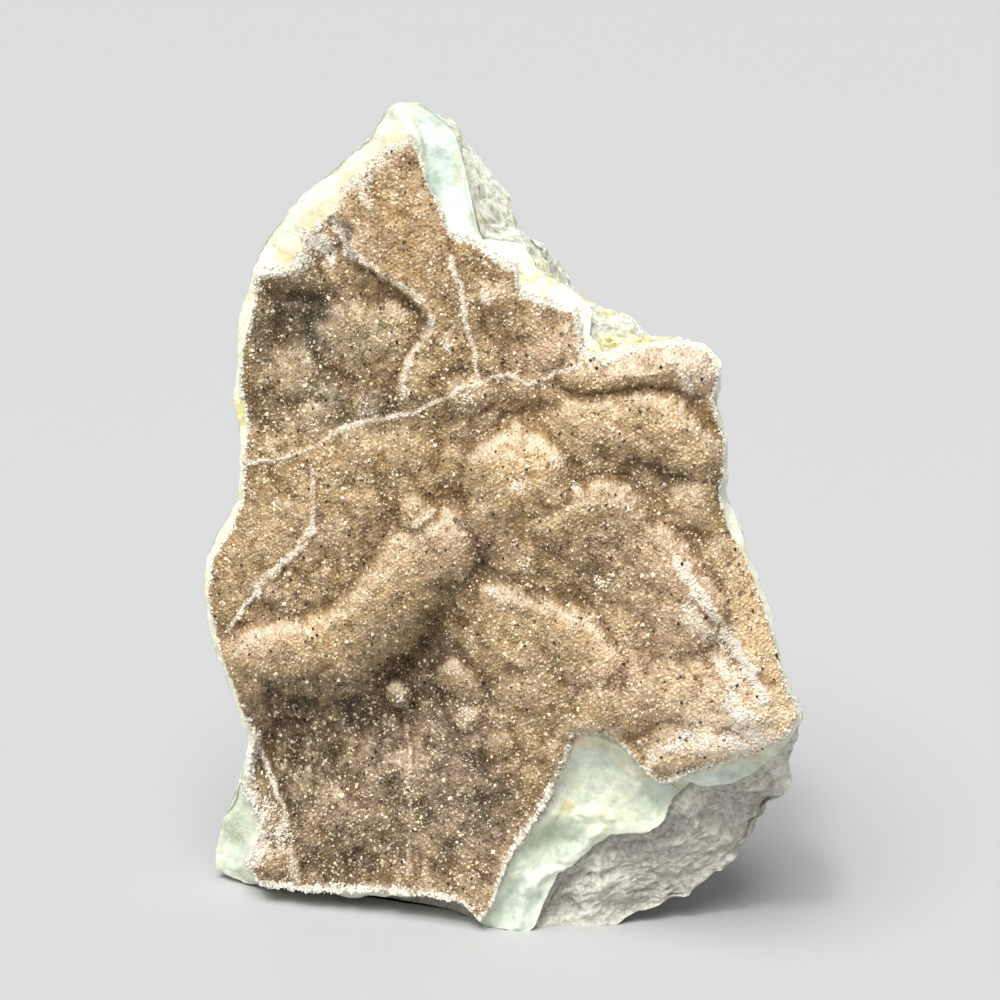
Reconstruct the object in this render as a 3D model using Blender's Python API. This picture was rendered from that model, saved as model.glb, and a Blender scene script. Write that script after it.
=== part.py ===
"""Drusy quartz geode specimen: a brown crystal crust on a chalcedony band on its grey host rock.

Each layer starts as a ball whose poles point to the front and to the back. Its rings are moved onto
outlines about one hub, so the three layers nest with a hairline gap. +X is the right of the crystal
face, -Y is the way that it looks, and +Z is up. The origin is on the table, under the middle.
"""
import math

import bmesh
import bpy
import numpy as np
from mathutils import Vector, noise

# Overall frame, in millimetres: where the hub is, and how the crystal face stands in the room
MM = 0.001
HUB_X = -2.0
HUB_Z = 62.0
FACE_Y = -25.2
LEAN = math.tan(math.radians(10.0))
TURN = math.tan(math.radians(16.0))

# Layers, in millimetres: the crust, the plain back of the chalcedony behind the face plane, the least
# rock behind that, and the hairline between them
CRUST_THICKNESS = 2.0
RIND_DEPTH = 11.0
ROCK_THICKNESS = 6.0
GAP = 0.4

# Resolution of the balls: the spokes of all three, the rings of the crystal face, which of them the
# crust's back repeats, the rings of the chalcedony's back as shares of its reach, and of the rock's
# broken back as turns in degrees from its widest outline
SPOKES = 80
FACE_RINGS = 18
RING_STEP = 2
RIND_BACK_SHARES = (0.88, 0.6, 0.3)
ROCK_TURNS = (7, 15, 23, 31, 39, 47, 55, 62, 69, 75, 81, 86)

# Edge of the crystal crust: x and z from the hub, clockwise from its tip
CRUST_EDGE = [
    (-12.5, 76), (-11, 73), (-9.5, 68), (-7.5, 64), (-6, 60), (-2, 59), (2.5, 56), (5.5, 54.5),
    (6, 51), (11, 49), (16, 47.5), (17, 42), (21, 39.5), (26, 42), (33.5, 43.5), (38, 42.5),
    (40, 39), (39, 34.5), (40.5, 27.5), (39.5, 18.5), (41.5, 12.5), (44, 9.5), (48, -2),
    (51, -12.5), (53.5, -17.5), (52.5, -21.5), (46, -26), (42.5, -25.5), (38, -27), (34, -31.5),
    (30, -30.5), (28, -31), (26, -28.5), (22.5, -24.5), (19.5, -24.5), (16.5, -26), (13.5, -33),
    (7, -43.5), (4, -46), (3, -50), (0, -57.5), (-0.5, -60), (-3.5, -57), (-10.5, -56.5),
    (-20.5, -57), (-33, -58.5), (-41, -58.5), (-43.5, -55), (-40.5, -47.5), (-43.5, -41),
    (-42, -32), (-46, -21.5), (-48.5, -15), (-50.5, -6), (-49.5, 0), (-46, 5.5), (-43.5, 11.5),
    (-42.5, 24.5), (-44, 33), (-41, 47), (-41, 51.5), (-34, 52.5), (-31.5, 55), (-32, 58.5),
    (-26, 63.5), (-24.5, 66.5), (-17.5, 73.5)]

# Outer edge of the chalcedony: x and z from the hub, and how far it lies behind the face plane
RIND_EDGE = [
    (-15, 82, 4), (-11.5, 82, 5), (-9, 80.5, 5), (-5, 77, 6), (-3, 70.5, 5), (-1, 61.5, 4.5),
    (0, 59.5, 4.5), (7, 58.5, 5), (9.5, 54.5, 4.5), (15.5, 51, 5), (19, 47.5, 4.5), (18.5, 43.5, 3),
    (21, 41, 3), (28, 43, 3), (38, 43, 3), (41, 40, 3), (40, 34, 3), (41.5, 27.5, 3.5),
    (41.5, 18.5, 4.5), (43.5, 14, 3.5), (49, 3.5, 3), (52.5, -13, 3), (55, -19, 3), (52.5, -23.5, 3),
    (47, -27.5, 3.5), (44.5, -33, 4.5), (36.5, -32.5, 4), (35, -34, 4), (32, -38.5, 4.5),
    (29, -44.5, 5), (25, -43.5, 5), (20, -46, 5), (17, -50, 4.5), (13.5, -52, 4), (11, -58.5, 4),
    (8.5, -62.5, 3.5), (4.5, -63.5, 3), (0, -62.5, 3), (-3.5, -58.5, 3), (-10.5, -58.5, 3.5),
    (-21, -59.5, 4), (-33.5, -60.5, 5), (-45, -62, 7), (-51, -60.5, 8), (-50.5, -53.5, 7),
    (-47.5, -46.5, 5), (-43.5, -36, 3), (-43, -32.5, 2.5), (-47.5, -22.5, 2.5), (-51.5, -11.5, 2.5),
    (-52, -5, 2.5), (-50, 2.5, 2.5), (-45, 11, 2.5), (-44.5, 19.5, 2.5), (-45.5, 32.5, 2.5),
    (-42.5, 48.5, 3.5), (-40, 57, 4.5), (-32.5, 65.5, 4.5), (-26.5, 71.5, 4.5), (-20, 76.5, 4.5),
    (-18, 80, 4.5)]

# Thickness of the bare chalcedony side wall: direction from the hub in degrees, and thickness
RIND_WALL = [(20, 1.5), (70, 1.0), (95, 1.5), (104, 5.0), (180, 5.5), (262, 5.0), (275, 1.0), (345, 1.0)]
WALL_TAPER = 0.15

# Widest outline of the host rock: x and z from the hub, and how far it lies behind the face plane.
# Along the bottom it runs below the table, where the flat cut takes it off.
ROCK_EDGE = [
    (-15.5, 80.5, 12), (-11, 80.5, 12), (-8, 78.5, 12), (-5, 75.5, 11), (1, 68.5, 10), (7, 61.5, 10),
    (15, 52.5, 10), (19, 48.5, 10), (25, 46, 9), (29, 42.5, 8.5), (38, 41, 9), (39.5, 36, 9),
    (41, 27, 8.5), (43, 18, 8), (47, 6, 8), (52, -13, 9), (56, -20.5, 9), (54.5, -28, 10),
    (53, -36, 12), (49, -45, 14), (43.5, -52, 15), (35.5, -58, 14), (26, -61, 11), (18, -65, 9),
    (10, -70, 9), (-10, -72, 10), (-30, -70, 11), (-46, -64, 13), (-47, -58, 13), (-47, -50, 12),
    (-42, -35, 11), (-46, -22, 11), (-50, -11, 11), (-50.5, -4, 11), (-48.5, 2, 11), (-43.5, 11, 11),
    (-43, 20, 11), (-44, 32, 11), (-41, 48, 12), (-38.5, 56, 12), (-31, 64.5, 12), (-19, 76, 12)]

# How square the rock is between that outline and its back, and its lumps: their size on a circle of
# radius one, and their height
ROCK_ROUNDNESS = 3.2
EDGE_LUMP_SIZE = 0.35
EDGE_LUMP_HEIGHT = 2.0

# Broken faces of the back: depth at the hub, and its slope along x and along z
BACK_FACES = [
    (32.4, 0.10, -0.05), (36.4, -0.40, 0.16), (35.4, 0.42, 0.20), (39.4, -0.04, -0.26),
    (34.9, 0.04, 0.30), (44.4, -0.70, -0.20), (41.4, 0.55, -0.24)]
BACK_CREASE = 0.9
BACK_LUMP_SIZE = 11.0
BACK_LUMP_HEIGHT = 2.2

# Round lumps of the crystal face: x and z from the hub, height over the plane, radius of curvature
LUMPS = [
    (5.5, 21, 7.5, 13), (20, 14.5, 6.5, 9), (10, 7, 5, 8), (6.5, -7, 6.5, 11), (14, -11, 5.5, 7),
    (35, 15.5, 4.2, 6), (29, 6, 4.2, 9), (-20.5, 44.5, 1.8, 6), (-2.5, 32.5, 3.6, 4), (-12, 11.5, 3.6, 3),
    (-2.5, -17.5, 3.2, 5), (7.5, -19, 3.6, 4), (-14.5, -20.5, 1.0, 3), (-32.5, 27, 1.8, 3),
    (33, -8, 5.5, 16), (27, -19, 4, 10), (42, -11, 3.2, 10), (46, -18, 2.8, 6), (37, -23, 2.6, 6),
    (-8, 49, 1.6, 9), (3, 46, 2, 8), (10, 41, 2, 6), (-41, 40, 1, 6)]

# Ridges of the crystal face: x and z of the points from the hub, height, radius of curvature
RIDGES = [
    ([(-47, -19), (-37.5, -14), (-25.5, -12.5), (-18, -6), (-12.5, 0.5), (-6, 8)], 4.6, 4),
    ([(18.5, 31.5), (28.5, 34), (38.5, 33)], 4.6, 5),
    ([(-13, 73), (-13.5, 62), (-14.5, 54)], 2.6, 7),
    ([(-24, 64), (-20, 56), (-12, 49.5), (-8.5, 44)], 2.2, 2.5),
    ([(-8.5, 44), (-11, 39.5), (-14.5, 37)], 1.5, 2.5)]

# Hollows and swells of the ground between them: x and z from the hub, height, radius
GROUND = [
    (-29, 47, -5, 10), (-31, 36, -3.5, 9), (-12, 40, -2, 6), (-18, -40, -3.5, 21), (-32, -26, -1.5, 8),
    (-30, 6, 1, 15), (-2, -5, -1.5, 7), (22, -3, -1.5, 6), (29, 21.5, -2.5, 5), (28, -8, 2.5, 20),
    (13, 20, 1.5, 18), (-12, 24, 1, 12)]
CREASE = 0.9
RIM_FADE = 0.1


def around_hub(points, values):
    """Values that belong to an outline's points, read at each spoke's direction about the hub."""
    turns = [math.atan2(point[1], point[0]) for point in points]
    turns, values = zip(*sorted(zip(turns, values)))
    return np.interp(spoke_angles, turns, values, period=math.tau)


def reach_of(outline):
    """How far an outline lies from the hub in each spoke's direction."""
    return around_hub(outline, [math.hypot(point[0], point[1]) for point in outline])


def setback_of(outline):
    """How far an outline lies behind the face plane in each spoke's direction."""
    return around_hub(outline, [point[2] for point in outline])


def face_plane(dx, dz):
    """Depth of the leaning plane that the crystal face was measured on."""
    return FACE_Y + (HUB_Z + dz) * LEAN - (HUB_X + dx) * TURN


def chain_distance(dx, dz, points):
    """Distance to a chain of straight runs."""
    best = math.inf
    for (x0, z0), (x1, z1) in zip(points, points[1:]):
        run = (x1 - x0, z1 - z0)
        share = ((dx - x0) * run[0] + (dz - z0) * run[1]) / (run[0] ** 2 + run[1] ** 2)
        share = min(1.0, max(0.0, share))
        best = min(best, math.hypot(dx - x0 - share * run[0], dz - z0 - share * run[1]))
    return best


def relief(dx, dz):
    """Height of the crust over the plane: the smooth union of the ground, the lumps and the ridges."""
    ground = 0.0
    for x, z, height, radius in GROUND:
        ground += height * math.exp(-((dx - x) ** 2 + (dz - z) ** 2) / radius ** 2)
    heights = [ground]
    for x, z, top, radius in LUMPS:
        heights.append(top - ((dx - x) ** 2 + (dz - z) ** 2) / (2 * radius))
    for points, top, radius in RIDGES:
        heights.append(top - chain_distance(dx, dz, points) ** 2 / (2 * radius))
    top = max(heights)
    return top + CREASE * math.log(sum(math.exp((height - top) / CREASE) for height in heights))


def roughness(dx, dz, depth, size, height):
    """Smooth, repeatable bumps of a given size and height."""
    return height * noise.noise(Vector((dx, dz, depth)) / size)


def ring(reach, depth):
    """Points at a reach on each spoke, with their depth from a function of x, z and the spoke."""
    dx = reach * np.cos(spoke_angles)
    dz = reach * np.sin(spoke_angles)
    depths = [depth(x, z, index) for index, (x, z) in enumerate(zip(dx, dz))]
    return np.stack([dx + HUB_X, np.array(depths), dz + HUB_Z], axis=1)


def pushed(points, distance):
    """A ring or a tip moved back, away from the viewer."""
    return points + np.array([0.0, distance, 0.0])


def stone(name, front, rings, back):
    """A ball turned to face the viewer, whose rings are moved onto the ones given, front to back."""
    mesh_rows = len(rings) + 1
    bm = bmesh.new()
    bmesh.ops.create_uvsphere(bm, u_segments=SPOKES, v_segments=mesh_rows, radius=1.0)
    for vert in bm.verts:
        row = round(math.acos(max(-1.0, min(1.0, vert.co.z))) / math.pi * mesh_rows)
        spoke = round(math.atan2(vert.co.y, vert.co.x) / math.tau * SPOKES) % SPOKES
        if row == 0:
            place = front
        elif row == mesh_rows:
            place = back
        else:
            place = rings[row - 1][spoke]
        vert.co = Vector(place) * MM
    bmesh.ops.triangulate(bm, faces=bm.faces, quad_method="SHORT_EDGE")
    mesh = bpy.data.meshes.new(name)
    bm.to_mesh(mesh)
    bm.free()
    body = bpy.data.objects.new(name, mesh)
    specimen.objects.link(body)
    return body


def cut_flat(body):
    """Take off what is below the table, and close the cut with one flat face."""
    bm = bmesh.new()
    bm.from_mesh(body.data)
    geometry = bm.verts[:] + bm.edges[:] + bm.faces[:]
    cut = bmesh.ops.bisect_plane(
        bm, geom=geometry, plane_co=(0, 0, 0), plane_no=(0, 0, -1), clear_outer=True)
    rim = [item for item in cut["geom_cut"] if isinstance(item, bmesh.types.BMEdge)]
    bmesh.ops.contextual_create(bm, geom=rim)
    bmesh.ops.recalc_face_normals(bm, faces=bm.faces)
    bm.to_mesh(body.data)
    bm.free()


def stone_material(name, color, roughness_value):
    """A plain opaque mineral."""
    material = bpy.data.materials.new(name)
    material.use_nodes = True
    shader = material.node_tree.nodes["Principled BSDF"]
    shader.inputs["Base Color"].default_value = (*color, 1.0)
    shader.inputs["Roughness"].default_value = roughness_value
    shader.inputs["Metallic"].default_value = 0.0
    return material


def back_depth(dx, dz):
    """Depth of the broken back: the nearest of its fracture faces, with blunt creases and rough grain."""
    faces = [at_hub + along_x * dx + along_z * dz for at_hub, along_x, along_z in BACK_FACES]
    near = min(faces)
    crease = sum(math.exp((near - face) / BACK_CREASE) for face in faces)
    broken = near - BACK_CREASE * math.log(crease) + roughness(dx, dz, 0.0, BACK_LUMP_SIZE, BACK_LUMP_HEIGHT)
    return max(broken, face_plane(dx, dz) + RIND_DEPTH + ROCK_THICKNESS)


def rock_depth(share):
    """Depth of the host rock's surface, at a share of the way from its edge to its broken back."""
    def at(x, z, spoke):
        edge = face_plane(x, z) + rock_setback[spoke]
        return edge + share * (back_depth(x, z) - edge)
    return at


for old in list(bpy.data.objects):
    bpy.data.objects.remove(old, do_unlink=True)
specimen = bpy.data.collections.new("geode_specimen")
bpy.context.scene.collection.children.link(specimen)
spoke_angles = np.arange(SPOKES) / SPOKES * math.tau

crust_reach = reach_of(CRUST_EDGE)
rind_reach = reach_of(RIND_EDGE)
rind_setback = setback_of(RIND_EDGE)
rock_reach = reach_of(ROCK_EDGE)
rock_setback = setback_of(ROCK_EDGE)
rind_wall = np.interp(np.degrees(spoke_angles), *zip(*RIND_WALL), period=360.0)

# Crystal face: rings that start round at the hub and take the outline's form toward the edge,
# where the lumps die away over the outer tenth
face_rings = []
for step in range(1, FACE_RINGS + 1):
    share = step / FACE_RINGS
    fade = math.sqrt(min(1.0, (1.0 - share) / RIM_FADE))
    reach = share * ((1.0 - share) * crust_reach.mean() + share * crust_reach)
    face_rings.append(ring(reach, lambda x, z, spoke: face_plane(x, z) - fade * relief(x, z)))
face_tip = np.array([HUB_X, face_plane(0, 0) - relief(0, 0), HUB_Z])

# Back of the crust: every second ring, set behind the deepest of the points about it
depth = np.array([points[:, 1] for points in face_rings])
depth = np.vstack([np.full(SPOKES, face_tip[1]), depth, depth[-1]])
beside = np.max([np.roll(depth, turn, axis=1) for turn in (-1, 0, 1)], axis=0)
deepest = np.maximum(beside[1:-1], np.maximum(beside[:-2], beside[2:]))
crust_back = []
for step in range(RING_STEP, FACE_RINGS + 1, RING_STEP):
    points = face_rings[step - 1].copy()
    points[:, 1] = deepest[step - 1] + CRUST_THICKNESS
    crust_back.append(points)
crust_back_tip = np.array([HUB_X, deepest[0].max() + CRUST_THICKNESS, HUB_Z])
crust = stone("druse_crust", face_tip, face_rings + crust_back[::-1], crust_back_tip)

# Chalcedony: it carries the crust, its bare edge slopes back to the outline, and its back is plain
bare_start = CRUST_THICKNESS + GAP
bare_rings = []
for share in (0.5, 1.0):
    setback = bare_start + share * (rind_setback - bare_start)
    reach = crust_reach + share * (rind_reach - crust_reach)
    bare_rings.append(ring(reach, lambda x, z, spoke: face_plane(x, z) + setback[spoke]))
wall_reach = rind_reach - WALL_TAPER * rind_wall
wall_setback = rind_setback + rind_wall
wall_ring = ring(wall_reach, lambda x, z, spoke: face_plane(x, z) + wall_setback[spoke])
inner_rings = [ring(share * wall_reach, lambda x, z, spoke: face_plane(x, z) + RIND_DEPTH)
               for share in RIND_BACK_SHARES]
inner_tip = np.array([HUB_X, face_plane(0, 0) + RIND_DEPTH, HUB_Z])
rind_rings = [pushed(points, GAP) for points in crust_back] + bare_rings + [wall_ring] + inner_rings
rind = stone("agate_rind", pushed(crust_back_tip, GAP), rind_rings, inner_tip)

# Host rock: behind the chalcedony, out to its own widest outline, then round to the broken back
rock_rings = [pushed(points, GAP) for points in inner_rings[::-1] + [wall_ring]]
rock_rings.append(ring(rock_reach, rock_depth(0.0)))
for turn in ROCK_TURNS:
    bulge = math.sin(math.radians(turn)) ** (2 / ROCK_ROUNDNESS)
    narrow = math.cos(math.radians(turn)) ** (2 / ROCK_ROUNDNESS)
    lumps = [roughness(math.cos(angle), math.sin(angle), bulge, EDGE_LUMP_SIZE, EDGE_LUMP_HEIGHT)
             for angle in spoke_angles]
    rock_rings.append(ring(narrow * (rock_reach + lumps), rock_depth(bulge)))
rock_tip = np.array([HUB_X, back_depth(0, 0), HUB_Z])
rock = stone("basalt_matrix", pushed(inner_tip, GAP), rock_rings, rock_tip)

for body in (rind, rock):
    cut_flat(body)
crust.data.materials.append(stone_material("brown_druse", (0.30, 0.20, 0.12), 0.45))
rind.data.materials.append(stone_material("pale_chalcedony", (0.60, 0.68, 0.55), 0.35))
rock.data.materials.append(stone_material("grey_basalt", (0.42, 0.39, 0.35), 0.90))
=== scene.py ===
"""Drusy quartz geode specimen, dressed: host rock, chalcedony, crystal crust, and the studio about it."""

import math

import bpy
import numpy as np
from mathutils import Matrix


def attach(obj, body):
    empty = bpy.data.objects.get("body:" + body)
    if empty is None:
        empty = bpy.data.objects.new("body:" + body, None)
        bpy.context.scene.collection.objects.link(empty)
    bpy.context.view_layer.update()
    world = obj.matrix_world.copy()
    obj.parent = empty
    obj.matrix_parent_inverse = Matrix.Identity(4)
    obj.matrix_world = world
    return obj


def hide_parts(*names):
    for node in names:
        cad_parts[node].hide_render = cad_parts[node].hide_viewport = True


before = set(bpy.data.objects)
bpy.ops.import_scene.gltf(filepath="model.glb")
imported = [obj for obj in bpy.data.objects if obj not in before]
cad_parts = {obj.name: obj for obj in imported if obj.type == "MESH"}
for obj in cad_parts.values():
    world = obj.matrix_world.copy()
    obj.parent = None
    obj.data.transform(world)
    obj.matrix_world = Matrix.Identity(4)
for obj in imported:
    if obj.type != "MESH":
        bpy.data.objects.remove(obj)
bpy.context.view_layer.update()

# The host rock is the grey, weathered basalt that the geode grew in. It broke away behind the
# chalcedony, rough and crumbling all round, and it stands on a flat underside.
MM = 0.001
HUB_X = -2.0
HUB_Z = 62.0
FACE_Y = -25.2
LEAN = math.tan(math.radians(10.0))
TURN = math.tan(math.radians(16.0))
HAIRLINE = 0.15

# Outer edge of the chalcedony: x and z from the hub, and how far it lies behind the face plane
RIND_EDGE = [
    (-15, 82, 4), (-11.5, 82, 5), (-9, 80.5, 5), (-5, 77, 6), (-3, 70.5, 5), (-1, 61.5, 4.5),
    (0, 59.5, 4.5), (7, 58.5, 5), (9.5, 54.5, 4.5), (15.5, 51, 5), (19, 47.5, 4.5), (18.5, 43.5, 3),
    (21, 41, 3), (28, 43, 3), (38, 43, 3), (41, 40, 3), (40.5, 34, 3), (42.2, 27.5, 3.5),
    (42.3, 18.5, 4.5), (43.8, 13.5, 3.5), (45.6, 8.5, 3), (47.6, 3.5, 3), (50.1, -5, 3), (52.2, -13, 3), (55, -19, 3), (53.3, -22.8, 3),
    (51, -25.8, 3.3), (48, -28.2, 3.7), (45.7, -30.4, 4), (43.7, -32.2, 4.3), (40.5, -33, 4.2), (38, -33, 4),
    (36.4, -32.5, 4), (35, -33.6, 4), (33.7, -35.4, 4.2), (33, -37.2, 4.4), (32.5, -39.3, 4.6), (31, -41.4, 4.8),
    (29, -42.8, 5), (25.9, -43.2, 5), (22.8, -43.8, 5), (20, -46, 5), (17, -49, 4.5), (13.5, -51.8, 4),
    (11.2, -56.5, 4), (9.2, -61.3, 3.7), (8, -62.5, 3.5), (4.5, -63.5, 3), (0, -62.5, 3), (-3.5, -58.5, 3), (-10.5, -58.5, 3.5),
    (-21, -59.5, 4), (-33.5, -60.5, 5), (-45, -62, 7), (-51, -60.5, 8), (-50.5, -53.5, 7),
    (-47.5, -46.5, 5), (-43.5, -36, 3), (-43, -32.5, 2.5), (-47.5, -22.5, 2.5), (-51.5, -11.5, 2.5),
    (-52, -5, 2.5), (-50, 2.5, 2.5), (-45, 11, 2.5), (-44.5, 19.5, 2.5), (-45.5, 32.5, 2.5),
    (-42.5, 48.5, 3.5), (-40, 57, 4.5), (-32.5, 65.5, 4.5), (-26.5, 71.5, 4.5), (-20, 76.5, 4.5),
    (-18, 80, 4.5)]

# Thickness of the chalcedony's bare side wall: direction from the hub in degrees, and thickness
RIND_WALL = [(20, 1.5), (70, 1.0), (95, 1.5), (104, 5.0), (180, 5.5), (262, 5.0), (275, 1.0), (345, 1.0)]
WALL_TAPER = 0.15
RIND_DEPTH = 11.0

# Widest outline of the rock: x and z from the hub, and how far it lies behind the face plane
ROCK_EDGE = [
    (-15.5, 80.5, 12), (-11, 80.5, 12), (-8, 78.5, 12), (-5, 75.5, 11), (1, 68.5, 10), (7, 61.5, 10),
    (15, 52.5, 10), (19, 48.5, 10), (25, 46, 9), (29, 42.5, 8.5), (38, 41, 9), (39.5, 36, 9),
    (40, 27, 8.5), (41.3, 18, 8), (43.8, 6, 8), (49.4, -13, 9), (54.7, -20.5, 9), (54.3, -28, 10),
    (53, -36, 12), (49, -45, 14), (43.5, -52, 15), (35.5, -58, 14), (26, -61, 11), (18, -65, 9),
    (10, -70, 9), (-10, -72, 10), (-30, -70, 11), (-46, -64, 13), (-47, -58, 13), (-47, -50, 12),
    (-42, -35, 11), (-46, -22, 11), (-50, -11, 11), (-50.5, -4, 11), (-48.5, 2, 11), (-43.5, 11, 11),
    (-43, 20, 11), (-44, 32, 11), (-41, 48, 12), (-38.5, 56, 12), (-31, 64.5, 12), (-19, 76, 12)]
ROCK_ROUNDNESS = 3.2
ROCK_THICKNESS = 6.0

# Broken faces of the back: depth at the hub, and its slope along x and along z
BACK_FACES = [
    (32.4, 0.10, -0.05), (36.4, -0.40, 0.16), (35.4, 0.42, 0.20), (39.4, -0.04, -0.26),
    (34.9, 0.04, 0.30), (44.4, -0.70, -0.20), (41.4, 0.55, -0.24)]
BACK_CREASE = 0.5

ROCK_SPOKES = 450
ROCK_HIDDEN = (0.3, 0.6, 0.88)
ROCK_RIM_ROWS = 50
ROCK_BACK_ROWS = 148


def outline_reach(outline, turns):
    """Distance from the hub to an outline: its points' distances, read straight between their directions."""
    points = np.array(outline, float)
    at = np.arctan2(points[:, 1], points[:, 0])
    order = np.argsort(at)
    reach = np.hypot(points[:, 0], points[:, 1])
    return np.interp(turns, at[order], reach[order], period=math.tau)


def outline_setback(outline, turns):
    """Setback of an outline behind the face plane, read straight between its points' directions."""
    points = np.array(outline, float)
    at = np.arctan2(points[:, 1], points[:, 0])
    order = np.argsort(at)
    return np.interp(turns, at[order], points[order, 2], period=math.tau)


def rind_rim(turns):
    """Distance from the hub to the chalcedony's broken outer edge: its outline, and small steps of noise."""
    around = 45.0 * np.stack([np.cos(turns), np.zeros_like(turns), np.sin(turns)], axis=1)
    return outline_reach(RIND_EDGE, turns) - 0.2 + 0.5 * waves(around, 3.5, seed=91, layers=4)


def rind_wall(turns):
    """Thickness of the chalcedony's side wall: read between the listed directions, thinner and thicker by
    noise along it."""
    around = 45.0 * np.stack([np.cos(turns), np.zeros_like(turns), np.sin(turns)], axis=1)
    listed = np.interp(np.degrees(turns), *zip(*RIND_WALL), period=360.0)
    return np.maximum(listed * (1.0 + 0.35 * waves(around, 9.0, seed=93, layers=3)), 0.8)


def face_plane(dx, dz):
    """Depth of the face plane: FACE_Y, plus height times the lean, minus x times the turn."""
    return FACE_Y + (HUB_Z + dz) * LEAN - (HUB_X + dx) * TURN


def lattice_value(i, j, k, seed):
    """A fixed number from -1 to 1 for each whole-number place: its coordinates multiplied and mixed."""
    mixed = (i * 374761393 + j * 668265263 + k * 1274126177 + seed * 974634777) & 0xFFFFFFFF
    mixed = ((mixed ^ (mixed >> 13)) * 1103515245) & 0xFFFFFFFF
    mixed = ((mixed ^ (mixed >> 15)) * 2654435761) & 0xFFFFFFFF
    return ((mixed ^ (mixed >> 16)) & 0xFFFF) / 32767.5 - 1.0


def waves(points, size, seed=0, layers=1):
    """Soft bumps from -1 to 1: the eight lattice values about a point, weighted by eased distance.
    Each further layer adds the same at half the size and half the height."""
    total = np.zeros(len(points))
    for layer in range(layers):
        scaled = points / size * 2 ** layer
        low = np.floor(scaled).astype(np.int64)
        part = scaled - low
        part = part * part * (3 - 2 * part)
        value = np.zeros(len(points))
        for i in (0, 1):
            for j in (0, 1):
                for k in (0, 1):
                    weight = np.abs(1 - i - part[:, 0]) * np.abs(1 - j - part[:, 1]) * np.abs(1 - k - part[:, 2])
                    value += weight * lattice_value(low[:, 0] + i, low[:, 1] + j, low[:, 2] + k, seed + layer)
        total += value / 2 ** layer
    return total


def chips(points, size, seed=0):
    """Broken chips: space is shared among scattered seeds, one to a cube of the given size. Returns
    the distance to the nearest seed and to the second, over size, and a fixed number for each chip."""
    scaled = points / size
    cell = np.floor(scaled).astype(np.int64)
    nearest = np.full(len(points), 9.0)
    second = np.full(len(points), 9.0)
    chip = np.zeros(len(points))
    for i in (-1, 0, 1):
        for j in (-1, 0, 1):
            for k in (-1, 0, 1):
                a, b, c = cell[:, 0] + i, cell[:, 1] + j, cell[:, 2] + k
                spot = np.stack([a + 0.5 + 0.45 * lattice_value(a, b, c, seed + 11),
                                 b + 0.5 + 0.45 * lattice_value(a, b, c, seed + 12),
                                 c + 0.5 + 0.45 * lattice_value(a, b, c, seed + 13)], axis=1)
                distance = np.linalg.norm(scaled - spot, axis=1)
                closer = distance < nearest
                second = np.where(closer, nearest, np.minimum(second, distance))
                chip = np.where(closer, lattice_value(a, b, c, seed + 14), chip)
                nearest = np.where(closer, distance, nearest)
    return nearest, second, chip


def grid_normals(rows):
    """Outward direction at each grid point: the cross product of the steps along its two directions."""
    across = np.roll(rows, -1, axis=1) - np.roll(rows, 1, axis=1)
    along = np.gradient(rows, axis=0)
    normal = np.cross(along, across)
    return normal / np.maximum(np.linalg.norm(normal, axis=2, keepdims=True), 1e-9)


def flat_grid(rows, function):
    """A function of loose points, applied to a grid of them."""
    return function(rows.reshape(-1, 3)).reshape(rows.shape[:2])


def mesh_from(name, points, corners, sizes, colors=None, smooth=False):
    """A mesh object from points in millimetres and from faces as one run of corners and their sizes.
    Colours belong to the points, as an attribute that the material reads."""
    mesh = bpy.data.meshes.new(name)
    mesh.vertices.add(len(points))
    mesh.vertices.foreach_set("co", (np.asarray(points) * MM).astype(np.float32).ravel())
    mesh.loops.add(len(corners))
    mesh.loops.foreach_set("vertex_index", np.asarray(corners, np.int32))
    mesh.polygons.add(len(sizes))
    starts = np.concatenate([[0], np.cumsum(sizes)[:-1]])
    mesh.polygons.foreach_set("loop_start", starts.astype(np.int32))
    mesh.polygons.foreach_set("use_smooth", np.full(len(sizes), smooth))
    if colors is not None:
        layer = mesh.color_attributes.new("mineral_color", "FLOAT_COLOR", "POINT")
        layer.data.foreach_set("color", np.column_stack([colors, np.ones(len(colors))]).astype(np.float32).ravel())
    mesh.update(calc_edges=True)
    piece = bpy.data.objects.new(name, mesh)
    bpy.context.scene.collection.objects.link(piece)
    return piece


def closed_skin(name, front, rows, back, colors, smooth=True):
    """A closed skin: rings from a front tip to a back tip, joined by quads, with a fan at each tip."""
    count, spokes = rows.shape[:2]
    points = np.vstack([front, rows.reshape(-1, 3), back])
    spoke = np.arange(spokes)
    beside = (spoke + 1) % spokes
    first = np.stack([np.zeros(spokes, int), 1 + spoke, 1 + beside], axis=1)
    ring = 1 + spokes * np.arange(count - 1)[:, None]
    quads = np.stack([ring + spoke, ring + spokes + spoke, ring + spokes + beside, ring + beside], axis=2)
    last = 1 + spokes * (count - 1)
    final = np.stack([np.full(spokes, len(points) - 1), last + beside, last + spoke], axis=1)
    corners = np.concatenate([first.ravel(), quads.ravel(), final.ravel()])
    sizes = np.concatenate([np.full(spokes, 3), np.full((count - 1) * spokes, 4), np.full(spokes, 3)])
    tinted = np.vstack([colors[0, :1], colors.reshape(-1, 3), colors[-1, :1]])
    return mesh_from(name, points, corners, sizes, tinted, smooth)


def ring_points(reach, turns, depth):
    """One ring: at each direction, x and z are the reach times cosine and sine, and y is the depth."""
    return np.stack([HUB_X + reach * np.cos(turns), depth, HUB_Z + reach * np.sin(turns)], axis=-1)


def plane_ring(reach, turns, setback):
    """One ring at a setback behind the face plane."""
    return ring_points(reach, turns, face_plane(reach * np.cos(turns), reach * np.sin(turns)) + setback)


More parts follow.
